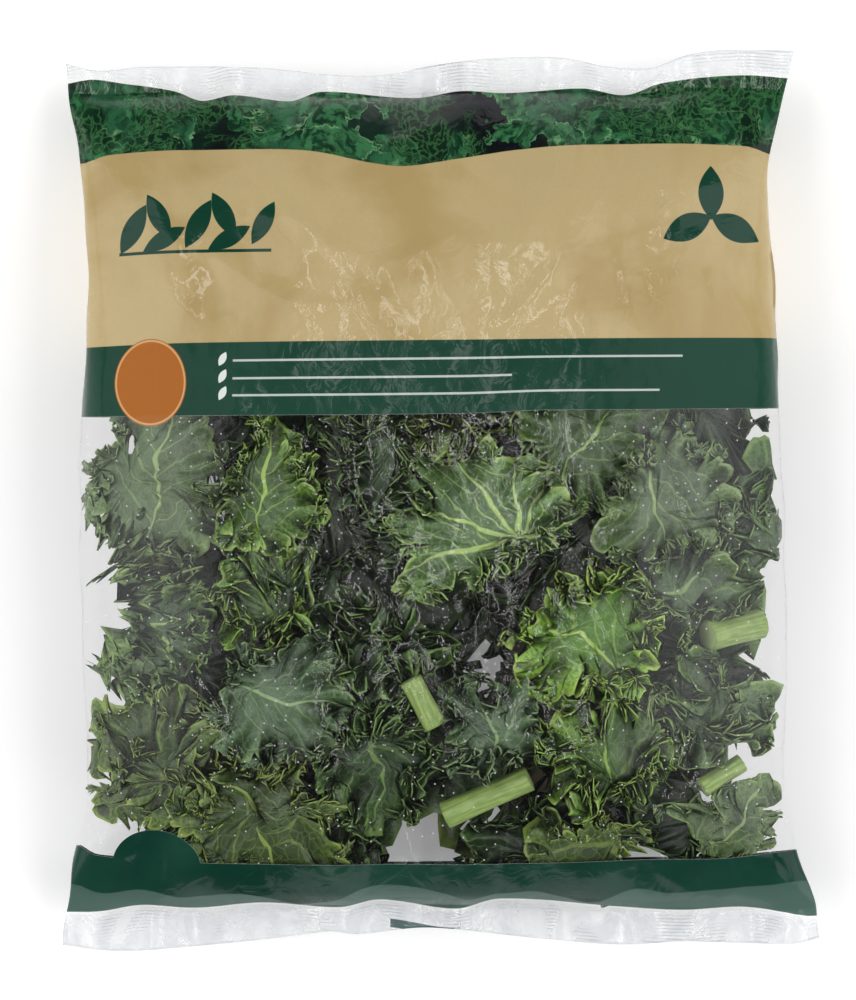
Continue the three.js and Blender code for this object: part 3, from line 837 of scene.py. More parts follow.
@dataclass(frozen=True)
class FilmBag:
    """The film: front and back sheets meeting at the folds and seals, and the fin seal."""

    form: FilmForm
    finish: FilmFinish
    cells_across: int = 188
    cells_along: int = 236
    edge: float = 0.12 * MM
    clearance: float = 0.5 * MM
    fin_width: float = 14 * MM
    fin_wall: float = 0.32 * MM
    fin_cells: tuple[int, int] = (8, 220)
    seed: int = 4107
    # Creases laid over the front: ends X, Y, X, Y, half width, height, in millimetres
    front_creases: tuple = (
        (-82, 88, -42, 62, 3.0, 0.9), (-36, 104, -18, 40, 2.6, 0.8), (-26, 110, -8, 58, 2.0, -0.7),
        (0, 118, 14, 96, 1.6, 0.7), (-10, 40, 4, 8, 2.4, 0.8), (-14, 34, -2, 2, 2.0, -0.6),
        (40, 116, 62, 104, 2.2, 0.6), (98, 84, 112, 60, 1.8, 0.7), (-104, 112, -88, 84, 2.4, 0.6),
        (-118, 60, -112, -20, 2.4, 0.9), (-112, -30, -118, -100, 2.6, 0.9), (108, 20, 114, -60, 2.4, 0.8),
        (-40, -92, -30, -140, 1.8, 0.9), (-66, -104, -58, -140, 1.6, 0.8), (24, -112, 18, -142, 1.6, 0.9),
        (58, -106, 64, -142, 1.8, 0.9), (96, -100, 108, -142, 2.0, 1.0), (-102, -110, -110, -144, 1.8, 0.9),
    )

    # Tents of the film over the kale, with flat flanks, given in the same way
    front_tents: tuple = (
        (-84, 90, -38, 64, 6.5, 1.5), (-58, 106, -26, 82, 5.0, 1.1), (-26, 82, 4, 94, 5.0, 1.0),
        (-104, 86, -82, 60, 6.0, 1.4), (-121, 112, -118, 64, 4.0, 1.0), (16, 58, 44, 88, 6.0, 1.3),
        (64, 118, 70, 60, 5.0, 1.1), (92, 82, 112, 60, 4.5, 1.2), (-34, 30, -30, -24, 4.0, 1.1),
        (-104, 24, -70, -14, 5.0, 1.1), (36, 6, 58, -24, 4.5, 1.1), (84, 20, 98, -30, 5.0, 1.1),
        (-90, -58, -70, -96, 4.5, 1.1), (62, -66, 86, -98, 4.5, 1.1), (-44, -118, -30, -140, 3.6, 1.1),
        (8, -116, 30, -140, 3.6, 1.1), (68, -118, 88, -140, 3.6, 1.1),
    )

    def crease_height(
        self, x: np.ndarray, y: np.ndarray, lines: np.ndarray, flat: bool = False
    ) -> np.ndarray:
        """Height of creases over each point.

        Args:
            x: Places across.
            y: Places along.
            lines: Rows of ends X, Y, X, Y, half width and height, in metres.
            flat: True for flanks of one even slope.

        Returns:
            The summed height of the creases.
        """
        total = np.zeros_like(x)
        for ax, ay, bx, by, wide, high in lines:
            dx, dy = bx - ax, by - ay
            length = math.hypot(dx, dy)
            share = ((x - ax) * dx + (y - ay) * dy) / length**2
            off = ((x - ax) * dy - (y - ay) * dx) / length
            bow = 0.06 * length * np.sin(math.pi * np.clip(share, 0, 1))
            fade = smooth_step(share, -0.05, 0.25) * smooth_step(1.05 - share, 0, 0.35)
            far = np.abs(off - bow) / wide
            total += high * fade * (np.clip(1 - far, 0, 1) if flat else np.exp(-far))
        return total

    def tucks(self, draw: np.random.Generator) -> np.ndarray:
        """Random tucks that run in from the seals and from the side folds.

        Args:
            draw: Random numbers.

        Returns:
            The tucks as rows for crease_height.
        """
        rows = []
        for end in (-1, 1):
            for place in np.linspace(-124, 124, 30):
                x = place + draw.uniform(-4, 4)
                lean = draw.uniform(-0.35, 0.35) - 0.0012 * x
                length = draw.uniform(10, 42)
                high = draw.choice((-1, 1)) * draw.uniform(0.35, 1.15)
                start = end * (150 - draw.uniform(0, 4))
                rows.append((x, start, x + lean * length, start - end * length, draw.uniform(0.8, 2.2), high))
        for side in (-1, 1):
            for place in np.linspace(-130, 130, 22):
                y = place + draw.uniform(-5, 5)
                length = draw.uniform(8, 26)
                high = draw.choice((-1, 1)) * draw.uniform(0.3, 0.8)
                edge = side * 127
                rise = draw.uniform(-0.6, 0.6) * length
                rows.append((edge, y, edge - side * length, y + rise, draw.uniform(1.0, 2.6), high))
        return np.array(rows) * MM

    def crumple(self, x: np.ndarray, y: np.ndarray, panel: Panel) -> np.ndarray:
        """How far the film stands off its even shape: dents, fine crumpling and creases.

        Args:
            x: Places across.
            y: Places along.
            panel: Which face it is.

        Returns:
            The height at each point.
        """
        seed = self.seed + (0 if panel is Panel.FRONT else 50)
        rows = self.tucks(np.random.default_rng(seed))
        dents = 0.75 * MM * swell(x, y, 58 * MM, seed + 1)
        ridged = 0.42 * MM * (0.7 - np.abs(swell(x, y, 34 * MM, seed + 2)))
        fine = 0.16 * MM * (0.7 - np.abs(swell(x, y, 12 * MM, seed + 3)))
        total = dents + ridged + fine + self.crease_height(x, y, rows)
        if panel is Panel.FRONT:
            total += self.crease_height(x, y, np.array(self.front_creases) * MM)
            total += self.crease_height(x, y, np.array(self.front_tents) * MM, True)
        return np.clip(total, -1.5 * MM, 2.4 * MM)

    def spots(self, s: np.ndarray, t: np.ndarray, panel: Panel) -> tuple[np.ndarray, np.ndarray, np.ndarray]:
        """Points of one sheet.

        Args:
            s: Shares across, 0 to 1.
            t: Shares along, 0 to 1.
            panel: Which face it is.

        Returns:
            X, Y and Z arrays.
        """
        form = self.form
        row = (2 * t - 1) * form.half_length
        left, right = form.sides(row)
        share = 0.5 * s + 0.5 * (1 - np.cos(math.pi * s)) / 2
        x = left + (right - left) * share
        x = x + 0.7 * MM * swell(x * 0, row, 31 * MM, self.seed + 9) * (2 * share - 1) ** 8
        y = form.along(x, row)
        front, back = form.heights(x, row, self.edge)
        around, full, _ = form.fullness(x, row)
        body = np.clip(around * 1.6, 0, 1) * (0.3 + 0.7 * smooth_step(full, 0, 0.5))
        curl = (1 - smooth_step(full, 0, 0.35)) * 0.9 * MM * swell(x, row * 0.35, 26 * MM, self.seed + 11)
        lying = smooth_step(back, 0, 2 * MM)
        z_back = np.maximum(back + lying * body * self.crumple(x, y, Panel.BACK) + curl, self.clearance)
        if panel is Panel.BACK:
            return x, y, z_back
        z_front = front + body * self.crumple(x, y, Panel.FRONT) + curl
        return x, y, np.maximum(z_front, z_back + 2 * self.edge)

    def sheet(self, panel: Panel) -> bpy.types.Mesh:
        """The mesh of one face, its normals outwards."""

        def place(s: np.ndarray, t: np.ndarray) -> tuple[np.ndarray, dict]:
            """Points and web map of the sheet."""
            across = s if panel is Panel.FRONT else 1 - s
            x, y, z = self.spots(across, t, panel)
            return columns(x, y, z), {"web": columns(x, self.finish.layout.web(x, y))}

        return sheet_mesh(f"film_{panel.value}", self.cells_across, self.cells_along, place)

    def build(self, groups: dict) -> list[bpy.types.Object]:
        """Builds the bag and its fin seal.

        Args:
            groups: The print's node groups by name.

        Returns:
            The pieces.
        """
        materials = [self.finish.material(panel, groups) for panel in Panel]
        work = bmesh.new()
        for number, panel in enumerate(Panel):
            sheet = self.sheet(panel)
            before = len(work.faces)
            work.from_mesh(sheet)
            work.faces.ensure_lookup_table()
            for face in work.faces[before:]:
                face.material_index = number
            bpy.data.meshes.remove(sheet)
        rims = [edge for edge in work.edges if edge.is_boundary]
        bmesh.ops.bridge_loops(work, edges=rims)
        bmesh.ops.recalc_face_normals(work, faces=work.faces)
        mesh = bpy.data.meshes.new("film")
        work.to_mesh(mesh)
        work.free()
        return [add_piece(mesh, materials, "film_bag"), self.build_fin(materials[1])]

    def build_fin(self, material: bpy.types.Material) -> bpy.types.Object:
        """The fin seal: a double strip of film folded flat down the middle of the back.

        Args:
            material: The film of the back.

        Returns:
            The piece.
        """

        def place(s: np.ndarray, t: np.ndarray) -> tuple[np.ndarray, dict]:
            """Points and web map of the strip."""
            form = self.form
            row = (2 * t - 1) * form.half_length
            x = (0.5 - s) * self.fin_width + 0.5 * MM * swell(row, row * 0, 60 * MM, self.seed + 20)
            y = form.along(x, row)
            _, back = form.heights(x, row, self.edge)
            z = np.maximum(back, self.clearance) - 0.08 * MM - 0.5 * self.fin_wall
            z -= np.where(back > 2 * MM, 0.25 * MM * (1 + swell(x, row, 24 * MM, self.seed + 21)), 0)
            return columns(x, y, z), {"web": columns(x, self.finish.layout.web(x, y))}

        strip = sheet_mesh("film_fin", *self.fin_cells, place)
        piece = add_piece(strip, [material])
        give_wall(piece, self.fin_wall)
        return piece


# The kale


def leaf_skin_group() -> bpy.types.NodeTree:
    """Group with a kale leaf's skin: ribs, veins, blisters and a paler frill, with painted shade in the
    frill's hollows and curls.
    """
    inputs = {
        "Deep": COLOUR, "Blade": COLOUR, "Rim": COLOUR, "Rib": COLOUR,
        "Rib Width": VALUE, "Veins": VALUE, "Rays": VALUE, "Bloom": VALUE,
    }
    outputs = {"Color": COLOUR, "Roughness": VALUE, "Height": VALUE}
    tree, g, given, result = new_group("leaf_skin", inputs, outputs)
    blade = g.uv("blade")
    p, q = g.parts(blade)
    share, crest = g.parts(g.uv("frill"))
    tone, ribbed = g.parts(g.uv("tone"))
    place = g.node("ShaderNodeTexCoord").outputs["Object"]
    wobble = g.times(g.minus(g.noise(blade, 90, 2), 0.5), 7 * MM)
    off = g.sum("ABSOLUTE", g.plus(q, g.times(wobble, 0.3)))
    outward = g.minus(1.0, g.times(share, 0.8))
    wide = g.times(given.outputs["Rib Width"], outward)
    rib = g.rise(g.over(off, wide), 1.25, 0.7)
    # Thinner ribs that spread from the base of the widest pieces
    turn = g.sum("ARCTAN2", g.plus(q, g.times(wobble, 0.5)), p)
    gap = g.times(g.sum("PINGPONG", g.over(turn, 0.56), 0.5), 0.56)
    gap = g.times(gap, g.node("ShaderNodeVectorMath", {0: blade}, operation="LENGTH").outputs["Value"])
    rays = g.rise(g.over(gap, g.times(wide, 0.55)), 1.3, 0.6)
    rays = g.times(rays, given.outputs["Rays"])
    # Side veins leave the rib at an even pitch and lean towards the tip
    run = g.minus(g.plus(p, wobble), g.times(off, 1.05))
    step = g.sum("PINGPONG", g.over(run, 8.5 * MM), 0.5)
    veins = g.rise(g.over(step, g.times(outward, 0.085)), 1.3, 0.5)
    veins = g.times(g.times(veins, given.outputs["Veins"]), ribbed)
    rib = g.times(g.most(rib, rays), ribbed)
    meshwork = g.rise(g.cells(g.shift(place, g.noise(place, 160, 1, part=1), 3 * MM), 260), 0.09, 0.015)
    meshwork = g.times(meshwork, given.outputs["Veins"])
    patch = g.rise(g.plus(g.noise(place, 48, 3, 0.5), g.times(tone, 0.3)), 0.75, 0.35)
    mottle = g.rise(g.noise(place, 420, 2), 0.3, 0.75)
    colour = g.blend(g.times(patch, 0.9), given.outputs["Blade"], given.outputs["Deep"])
    colour = g.blend(g.times(mottle, 0.25), colour, given.outputs["Deep"])
    # Waxy bloom, thicker on one half of the blade and in patches
    bloom = g.rise(g.noise(place, 34, 3, 0.6), 0.42, 0.62)
    bloom = g.plus(g.times(g.rise(q, -MM, MM), g.times(ribbed, 0.7)), bloom)
    bloom = g.times(g.sum("MINIMUM", bloom, 1.0), given.outputs["Bloom"])
    colour = g.blend(bloom, colour, ink(112, 140, 100))
    colour = g.blend(g.times(g.rise(share, 0.5, 0.95), 0.7), colour, given.outputs["Rim"])
    # Painted shade in the hollows of the ruffles, darkest where a point lies lowest on its ruffle
    painted_hollow_shade = g.rise(crest, 0.52, 0.12)
    colour = g.blend(g.times(painted_hollow_shade, 0.8), colour, given.outputs["Deep"])
    # Painted shade inside the small curls of the frill, lighter at their edges
    curls = g.rise(g.cells(g.shift(place, g.noise(place, 260, 1, part=1), 3 * MM), 420), 0.05, 0.3)
    curls = g.times(curls, g.times(g.rise(share, 0.45, 0.8), 0.45))
    colour = g.blend(curls, colour, given.outputs["Deep"])
    colour = g.blend(g.times(meshwork, 0.2), colour, given.outputs["Rib"])
    colour = g.blend(g.times(veins, 0.55), colour, given.outputs["Rib"])
    colour = g.blend(g.times(g.rise(share, 0.92, 0.99), 0.7), colour, given.outputs["Rib"])
    colour = g.blend(g.times(rib, 0.92), colour, given.outputs["Rib"])
    g.feed(result.inputs["Color"], colour)
    g.feed(result.inputs["Roughness"], g.rise(mottle, 0.0, 1.0, 0.3, 0.48))
    blister = g.rise(g.cells(place, 190, "F1"), 0.0, 0.8, 0.5, 0.0)
    lines = g.plus(g.times(rib, 0.5), g.times(g.plus(veins, meshwork), -0.22))
    height = g.plus(g.plus(blister, lines), g.times(mottle, 0.08))
    g.feed(result.inputs["Height"], height)
    return tree


@dataclass(frozen=True)
class LeafFinish:
    """Waxy kale leaf."""

    name: str
    deep: Colour
    blade: Colour
    rim: Colour
    rib: Colour
    rib_width: float = 0.75 * MM
    veins: float = 0.7
    rays: float = 0.0
    bloom: float = 0.3

    def material(self, skin: bpy.types.NodeTree) -> bpy.types.Material:
        """The leaf's material.

        Args:
            skin: The group that all the leaves share.

        Returns:
            The material.
        """
        material, g, surface = new_material(self.name)
        inputs = {
            "Deep": self.deep, "Blade": self.blade, "Rim": self.rim, "Rib": self.rib,
            "Rib Width": self.rib_width, "Veins": self.veins, "Rays": self.rays, "Bloom": self.bloom,
        }
        made = g.placed(skin, inputs)
        relief = {"Height": made.outputs["Height"], "Strength": 0.7, "Distance": 0.6 * MM}
        bump = g.node("ShaderNodeBump", relief)
        # Painted shade: darker and duller in the folds, by the piece's occlusion of itself
        folds = g.node("ShaderNodeAmbientOcclusion", {"Distance": 7 * MM}, samples=3, only_local=True)
        folds = folds.outputs["AO"]
        colour = g.blend(g.rise(folds, 0.25, 0.82, 0.85, 0.0), made.outputs["Color"], ink(8, 14, 6))
        shader = g.node(
            "ShaderNodeBsdfPrincipled",
            {
                "Base Color": colour, "Roughness": made.outputs["Roughness"],
                "Normal": bump.outputs[0], "Specular IOR Level": g.rise(folds, 0.3, 0.85, 0.1, 0.5),
            },
        )
        # Light thrown on from leaf to leaf takes the deep colour
        dull = g.node("ShaderNodeBsdfDiffuse", {"Color": self.deep})
        thrown = g.node("ShaderNodeLightPath").outputs["Is Diffuse Ray"]
        both = g.node("ShaderNodeMixShader", {0: thrown, 1: shader.outputs[0], 2: dull.outputs[0]})
        g.feed(surface, both.outputs[0])
        return material


class Growth(Enum):
    """How a leaf piece is ruffled."""

    BROAD = "broad"
    CURLED = "curled"
    TUFTED = "tufted"


@dataclass(frozen=True)
class Ruffles:
    """How the ruffles of one kind of growth are laid.

    frill_from is the share of the reach where they start, and height how high they stand. The fans
    are small ruffled lobes on the blade: fan_base is where they stand, as a share of the reach.
    """

    frill_from: float
    fans: int
    fan_base: tuple[float, float]
    fan_reach: tuple[float, float]
    height: float
    roll: float
    rib_shown: float
    bending: float


RUFFLES = {
    Growth.BROAD: Ruffles(0.55, 34, (0.74, 1.04), (3 * MM, 6.5 * MM), 1.8 * MM, 0.7, 1.0, 0.58),
    Growth.CURLED: Ruffles(0.34, 52, (0.4, 1.04), (3.2 * MM, 7.5 * MM), 2.2 * MM, 0.9, 0.7, 1.1),
    Growth.TUFTED: Ruffles(0.14, 62, (0.08, 1.04), (3.2 * MM, 8 * MM), 2.4 * MM, 1.0, 0.3, 1.5),
}


# Gaps in the pile, through which the back film and the floor show: X, Y, size, in millimetres
PILE_GAPS = (
    (-18, -117, 3.4), (-8, -124, 6), (26.3, -51.6, 2.6), (16.3, -68.3, 3.6), (2.9, -79.3, 1.6),
    (6.8, -99.3, 3.4), (13.8, -113.6, 1.4), (-26.8, -54.2, 1.2), (34.8, -98.6, 3.2), (55, -67.6, 1.6),
    (-80.5, 7.1, 1.8), (90.5, -37, 1.8), (81, -97, 1.8), (-74, -32, 1.2), (-59, -48, 1.2),
    (-45, -10.5, 1.2), (-109, -54, 2), (-82, -37, 1.3), (-62.8, -91.4, 2), (-109, 20, 1.6),
    (-129, -39, 15.5), (31.6, -24.7, 2.2), (-102, -72, 1.6), (112, -52, 1.6), (-49, -22, 1.3),
)


@dataclass(frozen=True)
class LeafLook:
    """What one leaf piece looks like: finish, growth, and how it lies among its neighbours.

    rib is the angle of its tip in degrees, where it is known. spread is how far it reaches past
    the outline of its node, and lift how far it stands above its own level, in millimetres. waist
    is how much narrower it is towards its base, as a share. base is where its ribs start, from its
    middle, and each of its cuts is a straight edge: the angle it faces, and its distance from the
    middle in millimetres. shift is how far its ruffles lie off the node's middle.
    """

    finish: str
    growth: Growth = Growth.TUFTED
    rib: Optional[float] = None
    spread: float = 1.0
    lift: float = 0.0
    waist: float = 0.3
    base: Optional[tuple[float, float]] = None
    cuts: tuple[tuple[float, float], ...] = ()
    shift: tuple[float, float] = (0.0, 0.0)


@dataclass
class Skeleton:
    """The plan of a leaf piece, read from its node: rays from its middle, the first to its tip."""

    centre: np.ndarray
    start: float
    reach: np.ndarray
    shares: np.ndarray
    levels: np.ndarray

    @classmethod
    def read(cls, node: str, rib: Optional[float]) -> "Skeleton":
        """Reads a node's upper sheet.

        Args:
            node: The leaf's node.
            rib: Angle of its tip in degrees, or None for the longer side of its rib.

        Returns:
            The skeleton.
        """
        work = bmesh.new()
        work.from_mesh(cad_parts[node].data)
        bmesh.ops.remove_doubles(work, verts=work.verts, dist=0.01 * MM)
        work.normal_update()
        upper = {v for f in work.faces if f.normal.z > 1e-3 for v in f.verts}
        lower = {v for f in work.faces if f.normal.z < -1e-3 for v in f.verts}
        under = np.array([v.co for v in lower])
        middle = max(upper, key=lambda v: sum(1 for e in v.link_edges if e.other_vert(v) in upper))
        sectors = sum(1 for e in middle.link_edges if e.other_vert(middle) in upper)
        centre = np.array(middle.co[:2])

        def halfway(v: bmesh.types.BMVert) -> tuple[float, float]:
            """Middle height and thickness of the sheet at a point of its upper side."""
            nearest = under[np.argmin(np.hypot(under[:, 0] - v.co.x, under[:, 1] - v.co.y))]
            return (v.co.z + nearest[2]) / 2, v.co.z - nearest[2]

        spots = [(math.atan2(v.co.y - centre[1], v.co.x - centre[0]), v) for v in upper - {middle}]
        spots.sort(key=lambda spot: (spot[0], spot[1].co.x, spot[1].co.y))
        first = spots[0][0]
        rays: list[list] = [[] for _ in range(sectors)]
        for angle, v in spots:
            ray = round(((angle - first) % TAU) / (TAU / sectors)) % sectors
            rays[ray].append((math.hypot(v.co.x - centre[0], v.co.y - centre[1]), *halfway(v)))
        centre_level = halfway(middle)[0]
        work.free()
        rows = [sorted(ray) for ray in rays]
        reach = np.array([row[-1][0] for row in rows])
        thick = [row[0][2] for row in rows]
        ribs = sorted(range(sectors), key=lambda k: -thick[k])[:2]
        angles = first + TAU * np.arange(sectors) / sectors
        if rib is None:
            tip = max(ribs, key=lambda k: reach[k])
        else:
            tip = max(ribs, key=lambda k: math.cos(angles[k] - math.radians(rib)))
        order = (np.arange(sectors) + tip) % sectors
        shares = np.array([0.0, *(item[0] / rows[tip][-1][0] for item in rows[tip])])
        rings = ([rows[k][i][1] for k in order] for i in range(len(rows[0])))
        levels = np.array([[centre_level] * sectors, *rings])
        return cls(centre, float(angles[tip]), reach[order], shares, levels)

    def rim(self, turn: np.ndarray) -> np.ndarray:
        """Reach of the outline at each place round the piece."""
        return round_trip(self.reach, turn)

    def level(self, share: np.ndarray, turn: np.ndarray) -> np.ndarray:
        """Height of the middle of the sheet.

        Args:
            share: Distance from the middle as a share of the outline's reach.
            turn: Place round the piece, 0 to 1 from the tip.

        Returns:
            The heights.
        """
        total = np.zeros_like(share)
        for i, own in enumerate(self.shares):
            part = np.ones_like(share)
            for j, other in enumerate(self.shares):
                if i != j:
                    part = part * (share - other) / (own - other)
            total += part * round_trip(self.levels[i], turn)
        return total


@dataclass(frozen=True)
class Sheet:
    """A polar sheet before it is ruffled: its points about its own middle.

    angle and radius give each point, share its distance as a share of the sheet's reach, and turn
    its place along the rim. rise is its height above the leaf's own level, length the rim's length,
    and closed is True where the rim meets itself. The ruffles start at the share frill_from, the
    widest have the given pitch and height, and there are as many generations of them as named.
    """

    origin: np.ndarray
    angle: np.ndarray
    radius: np.ndarray
    share: np.ndarray
    turn: np.ndarray
    rise: np.ndarray
    length: float
    closed: bool
    frill_from: float
    pitch: float
    height: float
    generations: int


@dataclass(frozen=True)
class LeafPiece:
    """One cut leaf piece: a veined blade with small ruffled fans growing over it."""

    name: str
    look: LeafLook
    form: FilmForm
    fine: int
    seed: int
    wall: float = 0.42 * MM
    film_room: float = 1.9 * MM
    blade_pitch: float = 13 * MM
    fan_pitch: float = 3.8 * MM
    tooth_pitch: float = 2.6 * MM
    tooth: float = 1.5 * MM
    blade_cells: tuple = ((100, 5), (130, 6), (236, 8))
    fan_cells: tuple = ((14, 3), (18, 3), (28, 3))
    fan_share: tuple = (0.3, 0.5, 1.0)
    gap_wave: float = 5 * MM
    gap_seed: int = 77

    @property
    def ruffles(self) -> Ruffles:
        """The ruffles of the piece's growth."""
        return RUFFLES[self.look.growth]

    def within_film(self, x: np.ndarray, y: np.ndarray, z: np.ndarray) -> np.ndarray:
        """Heights eased off where they would come too near the film.

        Args:
            x: Places across.
            y: Places along.
            z: Heights.

        Returns:
            The eased heights.
        """
        front, back = self.form.heights(x, y)
        high, low, ease = front - self.film_room, back + self.film_room, 1.2 * MM
        over, below = z - (high - ease), (low + ease) - z
        z = np.where(over > 0, high - ease + ease * np.tanh(over / ease), z)
        return np.where(below > 0, low + ease - ease * np.tanh(below / ease), z)

    def bent(self, x: np.ndarray, y: np.ndarray) -> tuple[np.ndarray, np.ndarray]:
        """Places pushed about, so that no leaf is even, and out of the gaps in the pile.

        Args:
            x: Places across.
            y: Places along.

        Returns:
            The new places.
        """
        far, near = self.ruffles.bending * 2.3 * MM, self.ruffles.bending * 0.9 * MM
        dx, dy = (
            far * swell(x, y, 22 * MM, self.seed + k) + near * swell(x, y, 8 * MM, self.seed + k + 2)
            for k in (11, 12)
        )
        x, y = x + dx, y + dy
        rough = 1 + 0.4 * swell(x, y, self.gap_wave, self.gap_seed)
        for gap_x, gap_y, gap in PILE_GAPS:
            ox, oy = x - gap_x * MM, y - gap_y * MM
            off = np.hypot(ox, oy)
            ragged = gap * MM * rough
            push = np.where(off < 2 * ragged, (ragged + off / 2) / np.maximum(off, 1e-6), 1)
            x, y = gap_x * MM + ox * push, gap_y * MM + oy * push
        return x, y

    def outline(self, bone: Skeleton, turn: np.ndarray) -> np.ndarray:
        """How far the piece reaches at each place round it.

        Args:
            bone: The leaf's skeleton.
            turn: Places round the piece, 0 to 1 from the tip.

        Returns:
            The reach at each place.
        """
        from_tip = np.abs(2 * ((turn + 0.5) % 1.0) - 1)
        narrow = 1 - self.look.waist * smooth_step(from_tip, 0.4, 1.0)
        notched = 1 - 0.22 * np.clip(wander(turn, np.random.default_rng(self.seed + 3), 9), -0.4, 1.6)
        reach = bone.rim(turn) * narrow * notched + self.look.spread * MM
        for facing, distance in self.look.cuts:
            toward = np.cos(bone.start + TAU * turn - math.radians(facing))
            cut = distance * MM / np.maximum(toward, 0.05)
            reach = np.where(toward > 0.05, np.minimum(reach, cut), reach)
        return reach

    def ruffled(
        self, bone: Skeleton, sheet: Sheet, draw: np.random.Generator
    ) -> tuple[np.ndarray, np.ndarray]:
        """Points of a sheet with its ruffles added.

        Args:
            bone: The leaf's skeleton.
            sheet: The sheet.
            draw: Random numbers.

        Returns:
            Rows of X, Y, Z, and how high each point stands on its ruffle, 0 to 1.
        """
        share, turn = sheet.share, sheet.turn
        up, out, side = np.zeros_like(share), np.zeros_like(share), np.zeros_like(share)
        swing = 1 + 0.45 * wander(turn, draw)
        for generation in range(sheet.generations):
            pitch, height = sheet.pitch / 2**generation, sheet.height * 0.66**generation
            start = 1 - (1 - sheet.frill_from) * 0.75**generation
            count = max(round(sheet.length / pitch), 2)
            phase = TAU * count * turn + 2.2 * wander(turn, draw, 9) + 1.8 * share * wander(turn, draw)
            phase = phase + (0 if sheet.closed else draw.uniform(0, TAU))
            weight = smooth_step(share, start, 1.0) * swing
            up += weight * height * np.sin(phase)
            out += weight * height * 0.8 * np.cos(phase + 0.5)
            side += weight * 0.85 * pitch / TAU * np.sin(phase + 0.5) * share
        notches = max(round(sheet.length / self.tooth_pitch), 3)
        teeth = np.abs(np.sin(0.5 * TAU * notches * turn + wander(turn, draw, 9)))
        out += self.tooth * (teeth - 0.6) * smooth_step(share, 0.6, 1.0)
        roll = np.clip(0.5 + 0.8 * wander(turn, draw), 0, 1) * np.clip((share - 0.7) / 0.3, 0, 1) ** 1.6
        up += self.ruffles.roll * roll * sheet.height
        out -= self.ruffles.roll * roll * sheet.height
        radius = np.maximum(sheet.radius + out * np.clip(share * 3, 0, 1), 0)
        x = sheet.origin[0] + radius * np.cos(sheet.angle) - side * np.sin(sheet.angle)
        y = sheet.origin[1] + radius * np.sin(sheet.angle) + side * np.cos(sheet.angle)
        x, y = self.bent(x, y)
        # Keep to the leaf's own ground, and lie on its own level
        dx, dy = x - bone.centre[0], y - bone.centre[1]
        around = ((np.arctan2(dy, dx) - bone.start) / TAU) % 1.0
        reach = bone.rim(around)
        far = np.hypot(dx, dy)
        limit = reach + (self.look.spread + 3.5) * MM
        eased = np.where(far > limit, limit + 1.2 * MM * np.tanh((far - limit) / (4 * MM)), far)
        scale = eased / np.maximum(far, 1e-9)
        x = bone.centre[0] + dx * scale + self.look.shift[0] * MM
        y = bone.centre[1] + dy * scale + self.look.shift[1] * MM
        level = bone.level(np.clip(eased / np.maximum(reach, 1e-6), 0, 1.06), around)
        swelling = 1.8 * MM * swell(x, y, 36 * MM, self.seed + 7)
        pucker = 0.7 * MM * swell(x, y, 11 * MM, self.seed + 5)
        pucker += 0.3 * MM * swell(x, y, 4.6 * MM, self.seed + 6)
        z = level + sheet.rise + self.look.lift * MM + up + swelling + pucker
        crest = np.clip(0.5 + up / (2.6 * sheet.height), 0, 1)
        return columns(x, y, self.within_film(x, y, z)), crest

    def blade(self, bone: Skeleton) -> bpy.types.Mesh:
        """The leaf's own sheet, with a raised rib along it.

        Args:
            bone: The leaf's skeleton.

        Returns:
            The sheet's mesh.
        """
        draw = np.random.default_rng(self.seed)
        middling = float(np.mean(bone.reach))
        lean = draw.uniform(-0.34, 0.34, 2) * middling
        base = (-0.75 * middling, 0.0)
        if self.look.base:
            east, north = (value * MM for value in self.look.base)
            cos, sin = math.cos(bone.start), math.sin(bone.start)
            base = (east * cos + north * sin, north * cos - east * sin)

        def place(s: np.ndarray, t: np.ndarray) -> tuple[np.ndarray, dict]:
            """Points and maps of the blade."""
            share = 0.5 * t + 0.5 * (1 - (1 - t) ** 2)
            radius = share * self.outline(bone, s)
            inner = np.outer(lean, 1 - share)
            cos, sin = math.cos(bone.start), math.sin(bone.start)
            origin = bone.centre[:, None] + np.array([[cos, -sin], [sin, cos]]) @ inner
            sheet = Sheet(
                origin, bone.start + TAU * s, radius, share, s, np.zeros_like(s), TAU * middling, True,
                self.ruffles.frill_from, self.blade_pitch, self.ruffles.height, 3,
            )
            spots, crest = self.ruffled(bone, sheet, draw)
            along = radius * np.cos(TAU * s) + inner[0] - base[0]
            off = radius * np.sin(TAU * s) + inner[1] - base[1]
            ridge = np.exp(-((off / (1.3 * MM)) ** 2)) * (1 - 0.75 * share)
            spots[:, 2] += 0.7 * MM * ridge
            blade = columns(along, off * (1 if self.seed % 2 else -1))
            tone = columns(np.full_like(s, 0.6), np.full_like(s, self.ruffles.rib_shown))
            return spots, {"blade": blade, "frill": columns(share, crest), "tone": tone}

        return sheet_mesh("blade", *self.blade_cells[self.fine], place)

    def fan(self, bone: Skeleton, number: int, count: int) -> bpy.types.Mesh:
        """One small ruffled fan on the blade.

        Args:
            bone: The leaf's skeleton.
            number: Which fan it is.
            count: How many there are; not used.

        Returns:
            The fan's mesh.
        """
        draw = np.random.default_rng(self.seed * 97 + number)
        turn = ((number * 0.618 + draw.uniform(-0.05, 0.05)) % 1.0 - 0.5) * 0.94
        low, high = self.ruffles.fan_base
        base_share = low + (high - low) * math.sqrt(draw.uniform())
        heading = bone.start + TAU * turn
        full = float(self.outline(bone, np.array([turn]))[0])
        origin = bone.centre + base_share * full * np.array([math.cos(heading), math.sin(heading)])
        heading += draw.normal() * 0.7
        reach = draw.uniform(*self.ruffles.fan_reach)
        half_span = draw.uniform(1.1, 1.9)
        lift = draw.uniform(-1.2, 3.6) * MM
        bright = draw.uniform()

